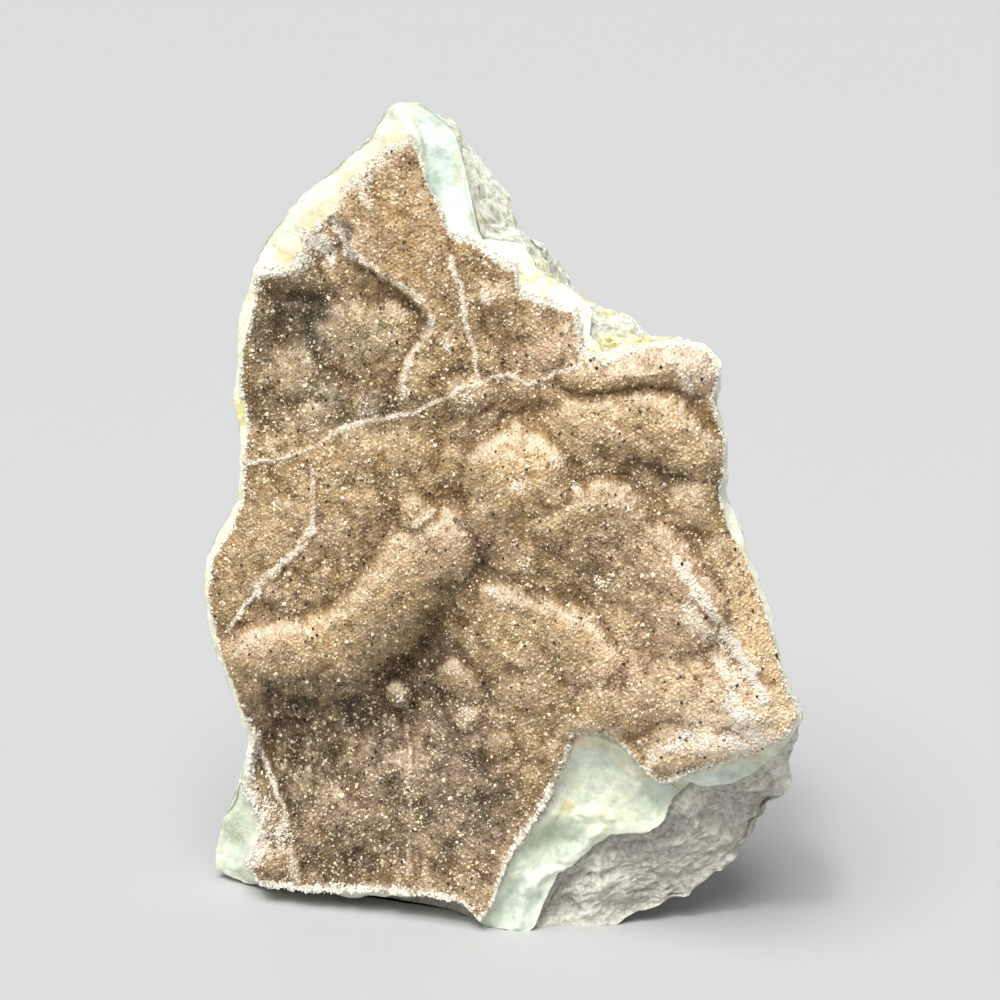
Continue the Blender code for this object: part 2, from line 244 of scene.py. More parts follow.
def back_depth(dx, dz):
    """Depth of the broken back: the soft least of its fracture planes, never less than the rock's
    least thickness behind the chalcedony."""
    planes = np.array([at_hub + along_x * dx + along_z * dz for at_hub, along_x, along_z in BACK_FACES])
    near = planes.min(axis=0)
    broken = near - BACK_CREASE * np.log(np.exp((near - planes) / BACK_CREASE).sum(axis=0))
    return np.maximum(broken, face_plane(dx, dz) + RIND_DEPTH + ROCK_THICKNESS)


rock_turns = np.arange(ROCK_SPOKES) / ROCK_SPOKES * math.tau
wall = rind_wall(rock_turns)
rind_reach = rind_rim(rock_turns)
wall_reach = rind_reach - WALL_TAPER * wall
wall_setback = outline_setback(RIND_EDGE, rock_turns) + wall + HAIRLINE
rock_reach = outline_reach(ROCK_EDGE, rock_turns)
rock_setback = outline_setback(ROCK_EDGE, rock_turns)
rock_rows = [plane_ring(share * wall_reach, rock_turns, RIND_DEPTH + HAIRLINE) for share in ROCK_HIDDEN]
for step in range(ROCK_RIM_ROWS + 1):
    share = step / ROCK_RIM_ROWS
    swell = share ** 0.8
    reach = wall_reach + swell * (rock_reach - wall_reach)
    rock_rows.append(plane_ring(reach, rock_turns, wall_setback + share ** 1.2 * (rock_setback - wall_setback)))
for step in range(1, ROCK_BACK_ROWS):
    turn = math.pi / 2 * step / ROCK_BACK_ROWS
    bulge = math.sin(turn) ** (2 / ROCK_ROUNDNESS)
    reach = math.cos(turn) ** (2 / ROCK_ROUNDNESS) * rock_reach
    dx, dz = reach * np.cos(rock_turns), reach * np.sin(rock_turns)
    edge = face_plane(dx, dz) + rock_setback
    rock_rows.append(ring_points(reach, rock_turns, edge + bulge * (back_depth(dx, dz) - edge)))
rock_rows = np.array(rock_rows)


LAYER_RISE = math.radians(32.0)
LAYERS = np.array([[math.cos(LAYER_RISE), 0.0, -math.sin(LAYER_RISE)], [0.0, 1.0, 0.0],
                   [math.sin(LAYER_RISE), 0.0, math.cos(LAYER_RISE)]]) * np.array([0.65, 1.0, 1.15])


def rock_bumps(points):
    """Height of the broken skin: chips that tilt and step against each other, over lumps, under flakes
    that lie along the rock's layers, which rise to the right, and under grain."""
    near, second, chip = chips(points, 7.0, seed=1)
    layered = points @ LAYERS + 0.8 * waves(points, 2.5, seed=4)[:, None]
    flake, flake_second, flake_chip = chips(layered, 2.6, seed=5)
    small, small_second, small_chip = chips(layered, 1.2, seed=6)
    height = 1.1 * waves(points, 14.0, seed=2, layers=3)
    broad, broad_second, broad_chip = chips(points + 1.5 * waves(points, 7.0, seed=9)[:, None], 21.0, seed=8)
    height += 1.3 * broad_chip * np.clip((broad_second - broad) / 0.12, 0, 1) - 1.6 * broad ** 2
    height += 0.9 * chip * np.clip((second - near) / 0.22, 0, 1) - 0.5 * near ** 2
    height += 0.38 * flake_chip * np.clip((flake_second - flake) / 0.25, 0, 1) - 0.2 * flake ** 2
    height += 0.22 * small_chip + 0.35 * waves(points, 1.5, seed=3, layers=2)
    return height


rock_normals = grid_normals(rock_rows)
bare = np.clip((np.arange(len(rock_rows)) - len(ROCK_HIDDEN)) / 6.0, 0, 1)[:, None]
bare = bare * np.clip((len(rock_rows) - np.arange(len(rock_rows))) / 6.0, 0, 1)[:, None]
bumps = flat_grid(rock_rows, rock_bumps)
low = np.clip(rock_rows[:, :, 2] / 3.0, 0.0, 1.0)
bumps = np.maximum(bumps, bumps * low)
rock_rows = rock_rows + rock_normals * (bumps * bare - 0.2 * bare)[:, :, None]
rock_rows[:, :, 2] = np.maximum(rock_rows[:, :, 2], 0.0)


def blend(color, share, target):
    """Colours moved toward a target colour by each point's share."""
    return color + share[:, None] * (np.asarray(target) - color)


def weathered(color, points, share):
    """Colours of weathered skin, by share: whitish bubbles in a grey net, which is yellow in patches."""
    near, second, chip = chips(points, 1.9, seed=49)
    color = blend(color, share * np.clip(0.85 + 0.4 * chip, 0, 1), (1.0, 1.0, 0.86))
    net = share * np.clip(1.2 - 4.5 * (second - near), 0, 1)
    color = blend(color, 0.5 * net, (0.62, 0.64, 0.50))
    yellow = np.clip(3.0 * waves(points, 4.0, seed=24, layers=3) - 0.4, 0, 1)
    return blend(color, share * yellow * np.clip(0.3 + net, 0, 0.85), (0.92, 0.82, 0.36))


def rock_color(points, height):
    """Colour of the rock: warm grey, paler where flakes stand up, darker where they are sunk as painted
    shade, and weathered along the upper edge."""
    color = np.tile([0.90, 0.87, 0.75], (len(points), 1))
    color = blend(color, np.clip(0.45 + 0.9 * waves(points, 5.0, seed=21, layers=3), 0, 1), (0.92, 0.90, 0.78))
    color = blend(color, np.clip(0.9 * height - 0.3, 0, 0.8), (1.0, 0.97, 0.87))
    # Painted shade: sunk spots are darkened.
    color = blend(color, np.clip(-0.9 * height - 0.5, 0, 0.6), (0.52, 0.50, 0.43))
    color = blend(color, np.clip(2.2 * waves(points, 9.0, seed=25, layers=2) - 0.8, 0, 0.3), (0.82, 0.72, 0.62))
    upper = np.clip((points[:, 2] - 88.0) / 8.0, 0, 1) * np.clip((22.0 - points[:, 1]) / 12.0, 0, 1)
    return weathered(color, points, upper)


rock_front = np.array([[HUB_X, face_plane(0.0, 0.0) + RIND_DEPTH + HAIRLINE, HUB_Z]])
rock_back = np.array([[HUB_X, back_depth(0.0, 0.0), HUB_Z]])
rock_tint = rock_color(rock_rows.reshape(-1, 3), bumps.ravel()).reshape(rock_rows.shape)
# Painted shade: the rock's first rows beside the chalcedony are darkened for the shadow in the crevice between them.
painted_crevice_shade = np.exp(-((np.arange(len(rock_rows)) - len(ROCK_HIDDEN)) / 1.5) ** 2)[:, None, None]
rock_tint = rock_tint * (1.0 - 0.5 * painted_crevice_shade)
host_rock = closed_skin("host_rock_skin", rock_front, rock_rows, rock_back, rock_tint)
centers = np.empty(3 * len(host_rock.data.polygons), np.float32)
host_rock.data.polygons.foreach_get("center", centers)
centers = centers.reshape(-1, 3) / MM
middle = np.hypot(centers[:, 0] - HUB_X, centers[:, 2] - HUB_Z) < 24.0
host_rock.data.polygons.foreach_set("use_smooth", middle)


def new_material(name):
    """A material with its shader and links at hand."""
    material = bpy.data.materials.new(name)
    material.use_nodes = True
    return material, material.node_tree.nodes, material.node_tree.links


def add_noise(nodes, links, scale, detail, roughness=0.55):
    """A noise texture on Object coordinates, with its scale per metre."""
    place = nodes.get("Texture Coordinate") or nodes.new("ShaderNodeTexCoord")
    noise = nodes.new("ShaderNodeTexNoise")
    noise.inputs["Scale"].default_value = scale
    noise.inputs["Detail"].default_value = detail
    noise.inputs["Roughness"].default_value = roughness
    links.new(place.outputs["Object"], noise.inputs["Vector"])
    return noise


def add_ramp(nodes, links, source, stops):
    """A colour ramp fed by a value, with its stops as place and grey or colour."""
    ramp = nodes.new("ShaderNodeValToRGB")
    while len(ramp.color_ramp.elements) < len(stops):
        ramp.color_ramp.elements.new(0.5)
    for element, (place, color) in zip(ramp.color_ramp.elements, stops):
        element.position = place
        element.color = (*color, 1.0) if isinstance(color, tuple) else (color, color, color, 1.0)
    links.new(source, ramp.inputs["Fac"])
    return ramp


def add_bump(nodes, links, source, distance, strength, below=None):
    """A bump of the given depth in metres, on top of another if there is one."""
    bump = nodes.new("ShaderNodeBump")
    bump.inputs["Distance"].default_value = distance
    bump.inputs["Strength"].default_value = strength
    links.new(source, bump.inputs["Height"])
    if below is not None:
        links.new(below.outputs["Normal"], bump.inputs["Normal"])
    return bump


def tinted_color(nodes, links, noise, low, high):
    """The points' own colour, multiplied by a grey between low and high that follows a noise."""
    own = nodes.new("ShaderNodeAttribute")
    own.attribute_name = "mineral_color"
    grey = add_ramp(nodes, links, noise.outputs["Fac"], [(0.32, low), (0.68, high)])
    mix = nodes.new("ShaderNodeMix")
    mix.data_type = "RGBA"
    mix.blend_type = "MULTIPLY"
    mix.inputs["Factor"].default_value = 1.0
    links.new(own.outputs["Color"], mix.inputs["A"])
    links.new(grey.outputs["Color"], mix.inputs["B"])
    return mix.outputs["Result"]


rock_material, nodes, links = new_material("weathered basalt")
shader = nodes["Principled BSDF"]
speckle = add_noise(nodes, links, 1000.0, 8.0, 0.85)
links.new(tinted_color(nodes, links, speckle, 0.45, 1.6), shader.inputs["Base Color"])
shader.inputs["Roughness"].default_value = 0.95
shader.inputs["Specular IOR Level"].default_value = 0.25
coarse = add_bump(nodes, links, add_noise(nodes, links, 450.0, 6.0, 0.75).outputs["Fac"], 0.0012, 0.9)
fine = add_bump(nodes, links, speckle.outputs["Fac"], 0.0005, 0.9, coarse)
links.new(fine.outputs["Normal"], shader.inputs["Normal"])
host_rock.data.materials.append(rock_material)
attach(host_rock, "root")
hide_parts("basalt_matrix")

# The crystal face is a crust of drusy quartz on rounded lumps and ridges. Its form is worked out here,
# because the chalcedony under it ends where the crust does and follows its edge.
CRUST_EDGE = [
    (-12.5, 76), (-11, 73), (-9.5, 68), (-7.5, 64), (-6, 60), (-2, 59), (2.5, 56), (5.5, 54.5),
    (6, 51), (11, 49), (16, 47.5), (17, 42), (21, 39.5), (26, 42), (33.5, 43.5), (38, 42.5),
    (40, 39), (39, 34.5), (40.9, 27.5), (40.2, 18.5), (42, 12.5), (44.3, 9), (48.4, -2),
    (51.4, -12.5), (53.7, -17.5), (52.3, -20.5), (50.5, -22.3), (48.4, -23.7), (45.4, -25), (42.8, -26.3),
    (40.1, -27.4), (37.5, -28.4), (34.8, -29.8), (32.4, -31.3), (30.9, -31.6), (29.9, -31), (27.2, -28.3),
    (25, -26), (23.6, -24.7), (21.2, -23.9), (18, -24.4), (16.2, -25.4), (15.2, -27.2), (14.5, -29.5), (13.3, -32.5), (12, -35.6),
    (10.4, -38.8), (8.2, -42.3), (6, -45.6), (4.2, -49), (2.8, -53), (1.2, -57), (-0.5, -60), (-3.5, -57), (-10.5, -56.5),
    (-20.5, -57), (-33, -58.5), (-41, -58.5), (-43.5, -55), (-40.5, -47.5), (-43.5, -41),
    (-42, -32), (-46, -21.5), (-48.5, -15), (-50.5, -6), (-49.5, 0), (-46, 5.5), (-43.5, 11.5),
    (-42.5, 24.5), (-44, 33), (-41, 47), (-41, 51.5), (-34, 52.5), (-31.5, 55), (-32, 58.5),
    (-26, 63.5), (-24.5, 66.5), (-17.5, 73.5)]

# Rolls and lumps of the crystal face: x and z of the points from the hub, height over the plane, and
# radius of curvature to the left and to the right of the roll's way
ROLLS = [
    ([(-46, -18), (-41.5, -15), (-35.5, -12.5), (-30.5, -12), (-26.5, -9), (-23, -6), (-20.5, -3.5),
      (-16.5, 1), (-13, 5.5), (-8.5, 8.5)], 4.5, 3.0, 10),
    ([(3.5, 20.5), (6.5, 22), (11, 21)], 7.4, 2.8, 9),
    ([(18, 38.5), (26.5, 40.5), (36.5, 41)], 4.4, 4, 4),
    ([(16, 29), (21, 31), (26.5, 31), (32, 29.5), (36.5, 26.5)], 5, 3.5, 8),
    ([(13.5, 13), (17.5, 15.5), (22, 16), (26, 13.5), (30, 9.5), (34, 5.5), (37.5, 1.5)], 5.8, 2.5, 24),
    ([(6, -1.5), (10.5, -2.5), (15.5, -4), (19, -7), (21, -9.5)], 5.4, 2.2, 22),
    ([(20, -16.5), (28.5, -14), (37, -14), (42.5, -15)], 4.4, 14, 11),
    ([(33, -25.5), (40.5, -23.5), (47, -21), (51.5, -19)], 3, 9, 4),
    ([(39.5, 7.5), (44.5, -1.5), (48, -11)], 3.4, 7, 4),
    ([(-21.5, 43.5), (-16.5, 44)], 0.9, 4.5, 16),
    ([(-40.5, 32), (-34, 32)], -1.0, 8, 5),
    ([(-19, 21), (-14, 22)], 3.2, 10, 6),
    ([(-14.5, 59), (-12, 66)], 1.8, 14, 14),
    ([(-3.5, 33), (-1, 33.5)], 3.4, 3, 2.6),
    ([(-30, 26.2)], 0.6, 3, 2.6),
    ([(-12, 11)], 4.6, 2.5, 2.5),
    ([(-3, -18.5)], 0.2, 3, 2.5),
    ([(-3, -23.5)], 0, 2, 1.6),
    ([(6.5, -19.5)], 1.6, 3, 2.6),
    ([(4, -27)], 0.6, 3, 2.6),
    ([(-15, -22.5)], -3.2, 1.2, 1),
    ([(35, 16.5)], 4.6, 5, 3.5),
    ([(1, 49.5)], 1.8, 3, 2.6),
    ([(13.5, 42)], 2.6, 8, 5),
    ([(-6.5, 41)], 2.2, 5, 4),
    ([(-38, -54)], 0.4, 4.5, 4)]

# Broken lip of the upper tongue: x and z of the points from the hub, step, half width, reach
LIP = [
    (-26.5, 62.5), (-23.5, 60), (-23, 57), (-21, 54.5), (-17.5, 52.5), (-13.5, 50), (-11, 48), (-10, 45),
    (-11.5, 42.5), (-13.5, 39.5), (-15, 36), (-15, 32.5)]
LIP_STEP = 4.0
LIP_WIDTH = 0.6
LIP_REACH = 9.0

# Hollows and swells of the ground between them: x and z from the hub, height, radius
GROUND = [
    (-33, 43, -5, 9), (-23.5, 36.5, -2.5, 7), (-39, 28.5, -2, 7), (-40.5, -32.5, -4, 7),
    (-29, -32.5, -5.5, 10), (-15, -23.5, -5.5, 10), (-8.5, -13.5, -4.5, 9), (-34, -57.5, -2.5, 13),
    (-15, -55, -2.5, 13), (-6, -38, -2.5, 12), (-1, 4, -1.5, 6), (24, 18, -3, 4), (34.5, 23, -2.5, 4),
    (34.5, 9, -1.5, 4), (18, -3.5, -1.5, 4), (5.5, 41.5, -1.5, 5), (7.5, 29, -3.5, 4), (-4.5, 14, -2.5, 3),
    (28.5, 4.5, 3.5, 22), (13.5, -16, 2.6, 10), (5, -10.5, 1.5, 8), (10, 16, 2.5, 14), (-34.5, 1, 3.6, 13),
    (-23.5, 15.5, 2.6, 12), (-9, 59, 1, 10), (10, 39.5, 1, 10)]
CREASE = 0.35
RIM_FADE = 0.1

# Pale seams, lips and crests: x and z of the points from the hub, half width, height, whiteness
MARKS = [
    ([(-42.6, 18), (-39.5, 18.8), (-36, 20), (-32.5, 21.5), (-29.5, 23), (-27, 24.5), (-24.5, 26), (-21, 27), (-17.5, 28),
      (-14.5, 29), (-12, 29.5), (-9, 31), (-6, 33), (-3.5, 34.5), (-1, 35), (1.5, 36), (4.5, 36.5),
      (6.5, 36), (8.5, 35.5), (10, 36), (11.5, 37), (12.5, 38), (14.5, 38.5), (16, 39.5)], 0.4, 0.2, 0.75),
    ([(-5.5, 56.5), (-5, 54), (-4, 51), (-3.5, 47.5), (-2.5, 44.5)], 0.6, 0.2, 0.95),
    ([(-2.5, 44.5), (-2, 42), (-1.5, 39.5), (-0.5, 35.5)], 0.45, 0.15, 0.75),
    ([(-30.5, 19), (-30, 15), (-30, 11.5), (-30.5, 8)], 0.5, 0.2, 0.7),
    ([(-30.5, 8), (-32, 5.5), (-34, 3.5), (-36, 1.5), (-38, -0.5), (-40, -2.5),
      (-41, -4.5)], 1.05, 0.5, 1.0),
    ([(-41, -4.5), (-43, -6.5), (-44, -8.5), (-46.5, -12)], 0.55, 0.3, 0.9),
    ([(-14, -24), (-14, -29.5), (-13.5, -34), (-13.5, -39), (-13, -44), (-13.5, -50),
      (-14, -54.5)], 0.33, 0.1, 0.35),
    ([(-41.5, -31.5), (-41, -35), (-40, -38), (-38.5, -40), (-37.5, -42.5), (-36.5, -44.5),
      (-36, -47.5)], 0.55, 0.3, 0.9),
    ([(-23.5, 60), (-23, 57), (-21, 55), (-17.5, 52.5), (-13.5, 50.5), (-10.4, 48.2), (-9.2, 45), (-10.6, 42.2),
      (-12.8, 39), (-13.9, 36), (-14, 32.5)], 0.8, 0.2, 0.65),
    ([(-44.5, -15.5), (-42, -13), (-38.5, -10.5), (-32.5, -10), (-29, -10.5), (-26.5, -7), (-23.5, -5.5),
      (-21.5, -4), (-19.5, -1), (-17, 1.5), (-14, 5.5), (-12, 7.5), (-9, 10), (-6, 11),
      (-3.5, 11.5)], 0.7, 0.1, 0.35),
    ([(0.5, 24), (2.5, 26), (6, 26.7), (10, 26), (14, 23.5)], 0.7, 0.1, 0.3),
    ([(11, -1.5), (16, -3.5), (19, -5), (21, -7.5)], 0.5, 0.1, 0.2),
    ([(16, 16), (20, 17.5), (23, 17), (27, 14), (30.5, 11), (34, 7)], 0.6, 0.1, 0.15),
    ([(33.5, 8), (35, 5.5), (37, 2.5), (40, -1.5), (42.5, -5.5), (45, -9.5), (47.5, -14)], 1.25, 0.3, 1.0),
    ([(35, 0.5), (37.5, -4), (40.5, -8.5), (43, -12.5)], 1.7, 0.1, 0.65),
    ([(31.5, 42.5), (33.5, 40), (35, 36)], 1.2, 0.1, 0.6),
    ([(36.5, 41.5), (37.5, 38)], 1.2, 0.1, 0.4),
    ([(32, 14.5), (32.5, 17.5), (35, 19.5), (38, 18.5)], 0.6, 0.1, 0.25),
    ([(31, -24.5), (34, -22.5), (38.5, -22.3), (42, -22.6), (45.5, -23), (49, -22)], 1.9, 0.1, 0.85),
    ([(42, -14.5), (44.5, -18), (46.5, -21.5)], 2.3, 0.1, 0.95),
    ([(29.5, -25), (28.7, -29.5)], 0.8, 0.1, 0.7),
    ([(-37, -47.5), (-40, -50), (-43, -54.5), (-44, -56)], 1.7, 0.3, 1.0),
    ([(-44.5, -43), (-42.5, -45.5), (-40.5, -46)], 1.7, 0.3, 0.9),
    ([(-40.5, -59.5), (-33.5, -58.5), (-25, -58.5)], 0.9, 0.3, 1.0),
    ([(-35.5, -51.5), (-34.5, -57)], 1.0, 0.1, 0.6),
    ([(-25.5, 61.5), (-24.5, 58), (-23, 55.5)], 1.5, 0.3, 0.9),
    ([(-30.5, 58.5), (-28.5, 57), (-27.5, 55)], 1.8, 0.2, 1.0),
    ([(-39.5, 52), (-35.5, 53.5)], 1.4, 0.2, 1.0),
    ([(-23, 66.5), (-18.5, 70.5), (-14.5, 74), (-13, 75.5)], 0.8, 0.1, 0.6),
    ([(-20.5, 64.5), (-21.5, 68)], 1.0, 0.2, 0.8),
    ([(0.5, 59), (5, 56), (9, 53), (14.5, 50)], 1.1, 0.2, 1.0),
    ([(0.5, 50), (1, 49)], 0.9, 0.2, 0.9),
    ([(16.5, 46), (17, 41.5), (20, 40)], 1.0, 0.2, 0.8),
    ([(-12.5, 10.5), (-10.5, 11.5), (-8.5, 12.5)], 0.9, 0.2, 0.5)]

# Regions of the druse with a colour: x and z from the hub, radii, strength, colour. Most are its own colour; the dark
# ones, in the bowl, the hollows, the pockets, the lower flat and under the ridges, are partly painted shade.
REGIONS = [
    (-33, 42, 12, 9, 0.85, (0.158, 0.133, 0.09)), (-38, 28, 9, 8, 0.6, (0.29, 0.219, 0.116)),
    (-19.5, 42.5, 6, 4.5, 0.85, (0.39, 0.32, 0.165)), (-24, 30, 13, 5, 0.9, (0.15, 0.117, 0.064)),
    (-12.5, 61, 7, 12, 0.8, (0.6, 0.391, 0.189)), (-22, -44, 25, 17, 0.95, (0.170, 0.115, 0.061)),
    (-4, -36, 10, 13, 0.95, (0.15, 0.102, 0.0602)), (-28, -26, 20, 8, 0.85, (0.125, 0.0856, 0.0473)),
    (-11, -16, 11, 10, 0.8, (0.15, 0.102, 0.0559)), (-33, -11.5, 11, 5, 0.8, (0.74, 0.512, 0.284)),
    (-12, 4, 8, 5, 0.5, (0.62, 0.437, 0.267)), (7.5, 21, 9, 7, 0.9, (0.62, 0.425, 0.21)),
    (26.5, 41, 12, 4, 0.7, (0.5, 0.344, 0.232)), (36.5, 39.5, 4, 5, 0.8, (0.64, 0.465, 0.378)),
    (26.5, 30, 13, 5, 0.6, (0.6, 0.409, 0.206)), (20, 9, 9, 8, 0.8, (0.29, 0.191, 0.0989)),
    (33, 5, 9, 10, 0.7, (0.54, 0.363, 0.224)), (31, -9, 15, 11, 0.8, (0.66, 0.465, 0.292)),
    (47, -3.5, 5, 14, 0.9, (0.86, 0.614, 0.335)), (43, -21, 13, 6.5, 1.0, (1, 0.84, 0.62)),
    (32, -27, 4.5, 4, 0.95, (1, 0.76, 0.48)), (19.5, -22.8, 5, 1.7, 1.0, (1, 0.86, 0.6)), (10, -9, 10, 7, 0.6, (0.5, 0.353, 0.172)),
    (8, 46, 9, 9, 0.6, (0.52, 0.353, 0.215)), (0, 3, 8, 6, 0.7, (0.26, 0.181, 0.103)),
    (-1, 30.5, 5, 3, 0.8, (0.3, 0.2, 0.103)), (30, 22, 9, 3, 0.8, (0.32, 0.223, 0.129))]


def crust_share(dx, dz):
    """How far out a point lies: its distance from the hub over the crust's reach in its direction."""
    return np.hypot(dx, dz) / outline_reach(CRUST_EDGE, np.arctan2(dz, dx))


def smooth_chain(points, parts=4):
    """A curve through the points: each run becomes a cubic whose ends share their slope with the next."""
    points = np.array(points, float)
    if len(points) == 1:
        return np.vstack([points, points + (0.01, 0.0)])
    if len(points) == 2:
        return points
    before = np.vstack([2 * points[0] - points[1], points[:-2]])[:, None, :]
    after = np.vstack([points[2:], 2 * points[-1] - points[-2]])[:, None, :]
    start, end = points[:-1, None, :], points[1:, None, :]
    t = np.arange(parts)[None, :, None] / parts
    curve = 2 * start + (end - before) * t + (2 * before - 5 * start + 4 * end - after) * t ** 2
    curve = 0.5 * (curve + (3 * start - before - 3 * end + after) * t ** 3)
    return np.vstack([curve.reshape(-1, 2), points[-1:]])


def chain_place(dx, dz, points):
    """Distance to a chain of straight runs, and how far to the left of its way a point lies: the least
    of the distances to each run's nearest point, and the offset across that run."""
    points = smooth_chain(points)
    best = np.full(len(dx), 1e9)
    left = np.zeros(len(dx))
    for (x0, z0), (x1, z1) in zip(points, points[1:]):
        run_x, run_z = x1 - x0, z1 - z0
        length = math.hypot(run_x, run_z)
        share = np.clip(((dx - x0) * run_x + (dz - z0) * run_z) / length ** 2, 0.0, 1.0)
        away_x, away_z = dx - x0 - share * run_x, dz - z0 - share * run_z
        distance = np.hypot(away_x, away_z)
        closer = distance < best
        left = np.where(closer, (run_x * away_z - run_z * away_x) / length, left)
        best = np.where(closer, distance, best)
    return best, left


def relief(dx, dz):
    """Height over the face plane: the soft greatest of the ground and of a parabolic roll along each
    chain, read at places swayed by noise, with grape-like bulbs of a few millimetres on top."""
    flat = np.stack([dx, np.zeros_like(dx), dz], axis=1)
    bulbs = 0.7 * waves(flat, 7.0, seed=31, layers=4)
    bulbs -= 0.95 * (chips(flat, 6.0, seed=34)[0] ** 2 - 0.3) + 0.24 * (chips(flat, 2.6, seed=35)[0] ** 2 - 0.3)
    sway_x = waves(flat, 10.0, seed=71) + 0.5 * waves(flat, 4.0, seed=72, layers=3)
    sway_z = waves(flat, 10.0, seed=73) + 0.5 * waves(flat, 4.0, seed=74, layers=3)
    dx, dz = dx + sway_x, dz + sway_z
    ground = np.zeros(len(dx))
    for x, z, height, radius in GROUND:
        ground += height * np.exp(-((dx - x) ** 2 + (dz - z) ** 2) / radius ** 2)
    distance, left = chain_place(dx, dz, LIP)
    ground += LIP_STEP * (1 / (1 + np.exp(-2 * left / LIP_WIDTH)) - 0.5) * np.exp(-distance / LIP_REACH)
    heights = [ground]
    for points, top, left_radius, right_radius in ROLLS:
        distance, left = chain_place(dx, dz, points)
        middle = (1 / left_radius + 1 / right_radius) / 2
        change = (1 / left_radius - 1 / right_radius) / 2
        heights.append(top - (middle * distance ** 2 + change * left * distance) / 2)
    heights = np.array(heights)
    top = heights.max(axis=0)
    return top + CREASE * np.log(np.exp((heights - top) / CREASE).sum(axis=0)) + bulbs


def marks(dx, dz):
    """Whiteness and height of the pale seams, patches and crests: full within about a half width of a
    line, with a ragged edge cut by noise, and paler gaps."""
    flat = np.stack([dx, np.zeros_like(dx), dz], axis=1)
    fray = 0.35 * waves(flat, 1.3, seed=41, layers=3)
    gaps = np.clip(1.1 + 0.8 * waves(flat, 3.2, seed=42, layers=2), 0.4, 1.0)
    sway_x, sway_z = 0.35 * waves(flat, 2.5, seed=43), 0.35 * waves(flat, 2.5, seed=44)
    white = np.zeros(len(dx))
    rise = np.zeros(len(dx))
    for points, half_width, height, whiteness in MARKS:
        low, high = np.min(points, axis=0) - 4 * half_width, np.max(points, axis=0) + 4 * half_width
        near = np.nonzero((dx > low[0]) & (dx < high[0]) & (dz > low[1]) & (dz < high[1]))[0]
        distance = chain_place(dx[near] + sway_x[near], dz[near] + sway_z[near], points)[0]
        strength = np.exp(-(distance / half_width) ** 2)
        strength = np.clip(2.6 * (strength - 0.42 + fray[near] * min(half_width, 1.0)), 0, 1) * (strength > 0.02)
        white[near] = np.maximum(white[near], strength * whiteness * gaps[near])
        rise[near] = np.maximum(rise[near], strength * height)
    return white, rise


# Share of white quartz along the crust's edge, and how far it spreads: direction in degrees
EDGE_FROST = [
    (0, 0.1, 0.3), (34, 0.1, 0.3), (42, 0.7, 0.5), (61, 0.7, 0.5), (66, 0.9, 0.6), (94, 0.8, 0.5),
    (96, 0.4, 0.3), (99, 0.5, 0.4), (101, 0.55, 0.6), (117, 0.55, 0.8), (120, 0.9, 1.3), (129, 1.0, 1.0),
    (132, 0.25, 0.3), (212, 0.2, 0.3), (215, 0.8, 0.8), (226, 1.0, 1.3), (234, 1.0, 1.2), (237, 1.0, 0.7),
    (265, 1.0, 0.9), (268, 0.8, 0.7), (285, 0.9, 1.2), (305, 0.9, 1.2), (308, 0.6, 0.7), (313, 1.0, 1.0), (320, 0.9, 1.3),
    (335, 0.9, 1.0),
    (341, 0.15, 0.3)]


def edge_frost(dx, dz):
    """Share of white quartz and its spread at a point's direction, read between the listed directions."""
    direction = np.degrees(np.arctan2(dz, dx))
    at, share, spread = zip(*EDGE_FROST)
    return np.interp(direction, at, share, period=360.0), np.interp(direction, at, spread, period=360.0)


def druse_color(dx, dz, white):
    """Colour of the druse before its grains vary it: brown, with each region's colour, the dark regions
    partly painted shade, dusky and rosy patches, and white on the marks and by the frosted edges."""
    flat = np.stack([dx, np.zeros_like(dx), dz], axis=1)
    color = np.tile([0.43, 0.292, 0.138], (len(dx), 1))
    uneven = np.clip(1.0 + 0.5 * waves(flat, 6.0, seed=60, layers=3), 0.3, 1.3)
    # Painted shade in part: the dark regions darken the hollows and the undersides of the ridges.
    for x, z, radius_x, radius_z, strength, tint in REGIONS:
        near = strength * np.exp(-(((dx - x) / radius_x) ** 2 + ((dz - z) / radius_z) ** 2) ** 1.5)
        color = blend(color, np.clip(near * uneven, 0, 1), tint)
    color = blend(color, np.clip(1.6 * waves(flat, 7.0, seed=61, layers=3) - 0.35, 0, 0.3), (0.50, 0.355, 0.26))
    frosted = np.clip(1.5 * waves(flat, 2.0, seed=66, layers=3) - 0.25, 0, 0.5)
    color = blend(color, frosted * color.mean(axis=1) / 0.45, (0.80, 0.61, 0.39))
    color = color * (1.0 + 0.16 * waves(flat, 3.6, seed=62, layers=3) + 0.12 * waves(flat, 1.2, seed=64))[:, None]
    share, spread = edge_frost(dx, dz)
    reach = np.hypot(dx, dz) / np.maximum(crust_share(dx, dz), 1e-6)
    inward = reach * (1.0 - crust_share(dx, dz))
    rim = share * np.exp(-(inward / (1.1 * spread)) ** 2) * np.clip(0.8 + 0.8 * waves(flat, 1.5, seed=63), 0, 1)
    pale = np.clip(1.1 * np.maximum(rim, white), 0, 1)
    return blend(blend(color, pale, (0.86, 0.72, 0.54)), pale ** 3, (0.95, 0.88, 0.77))


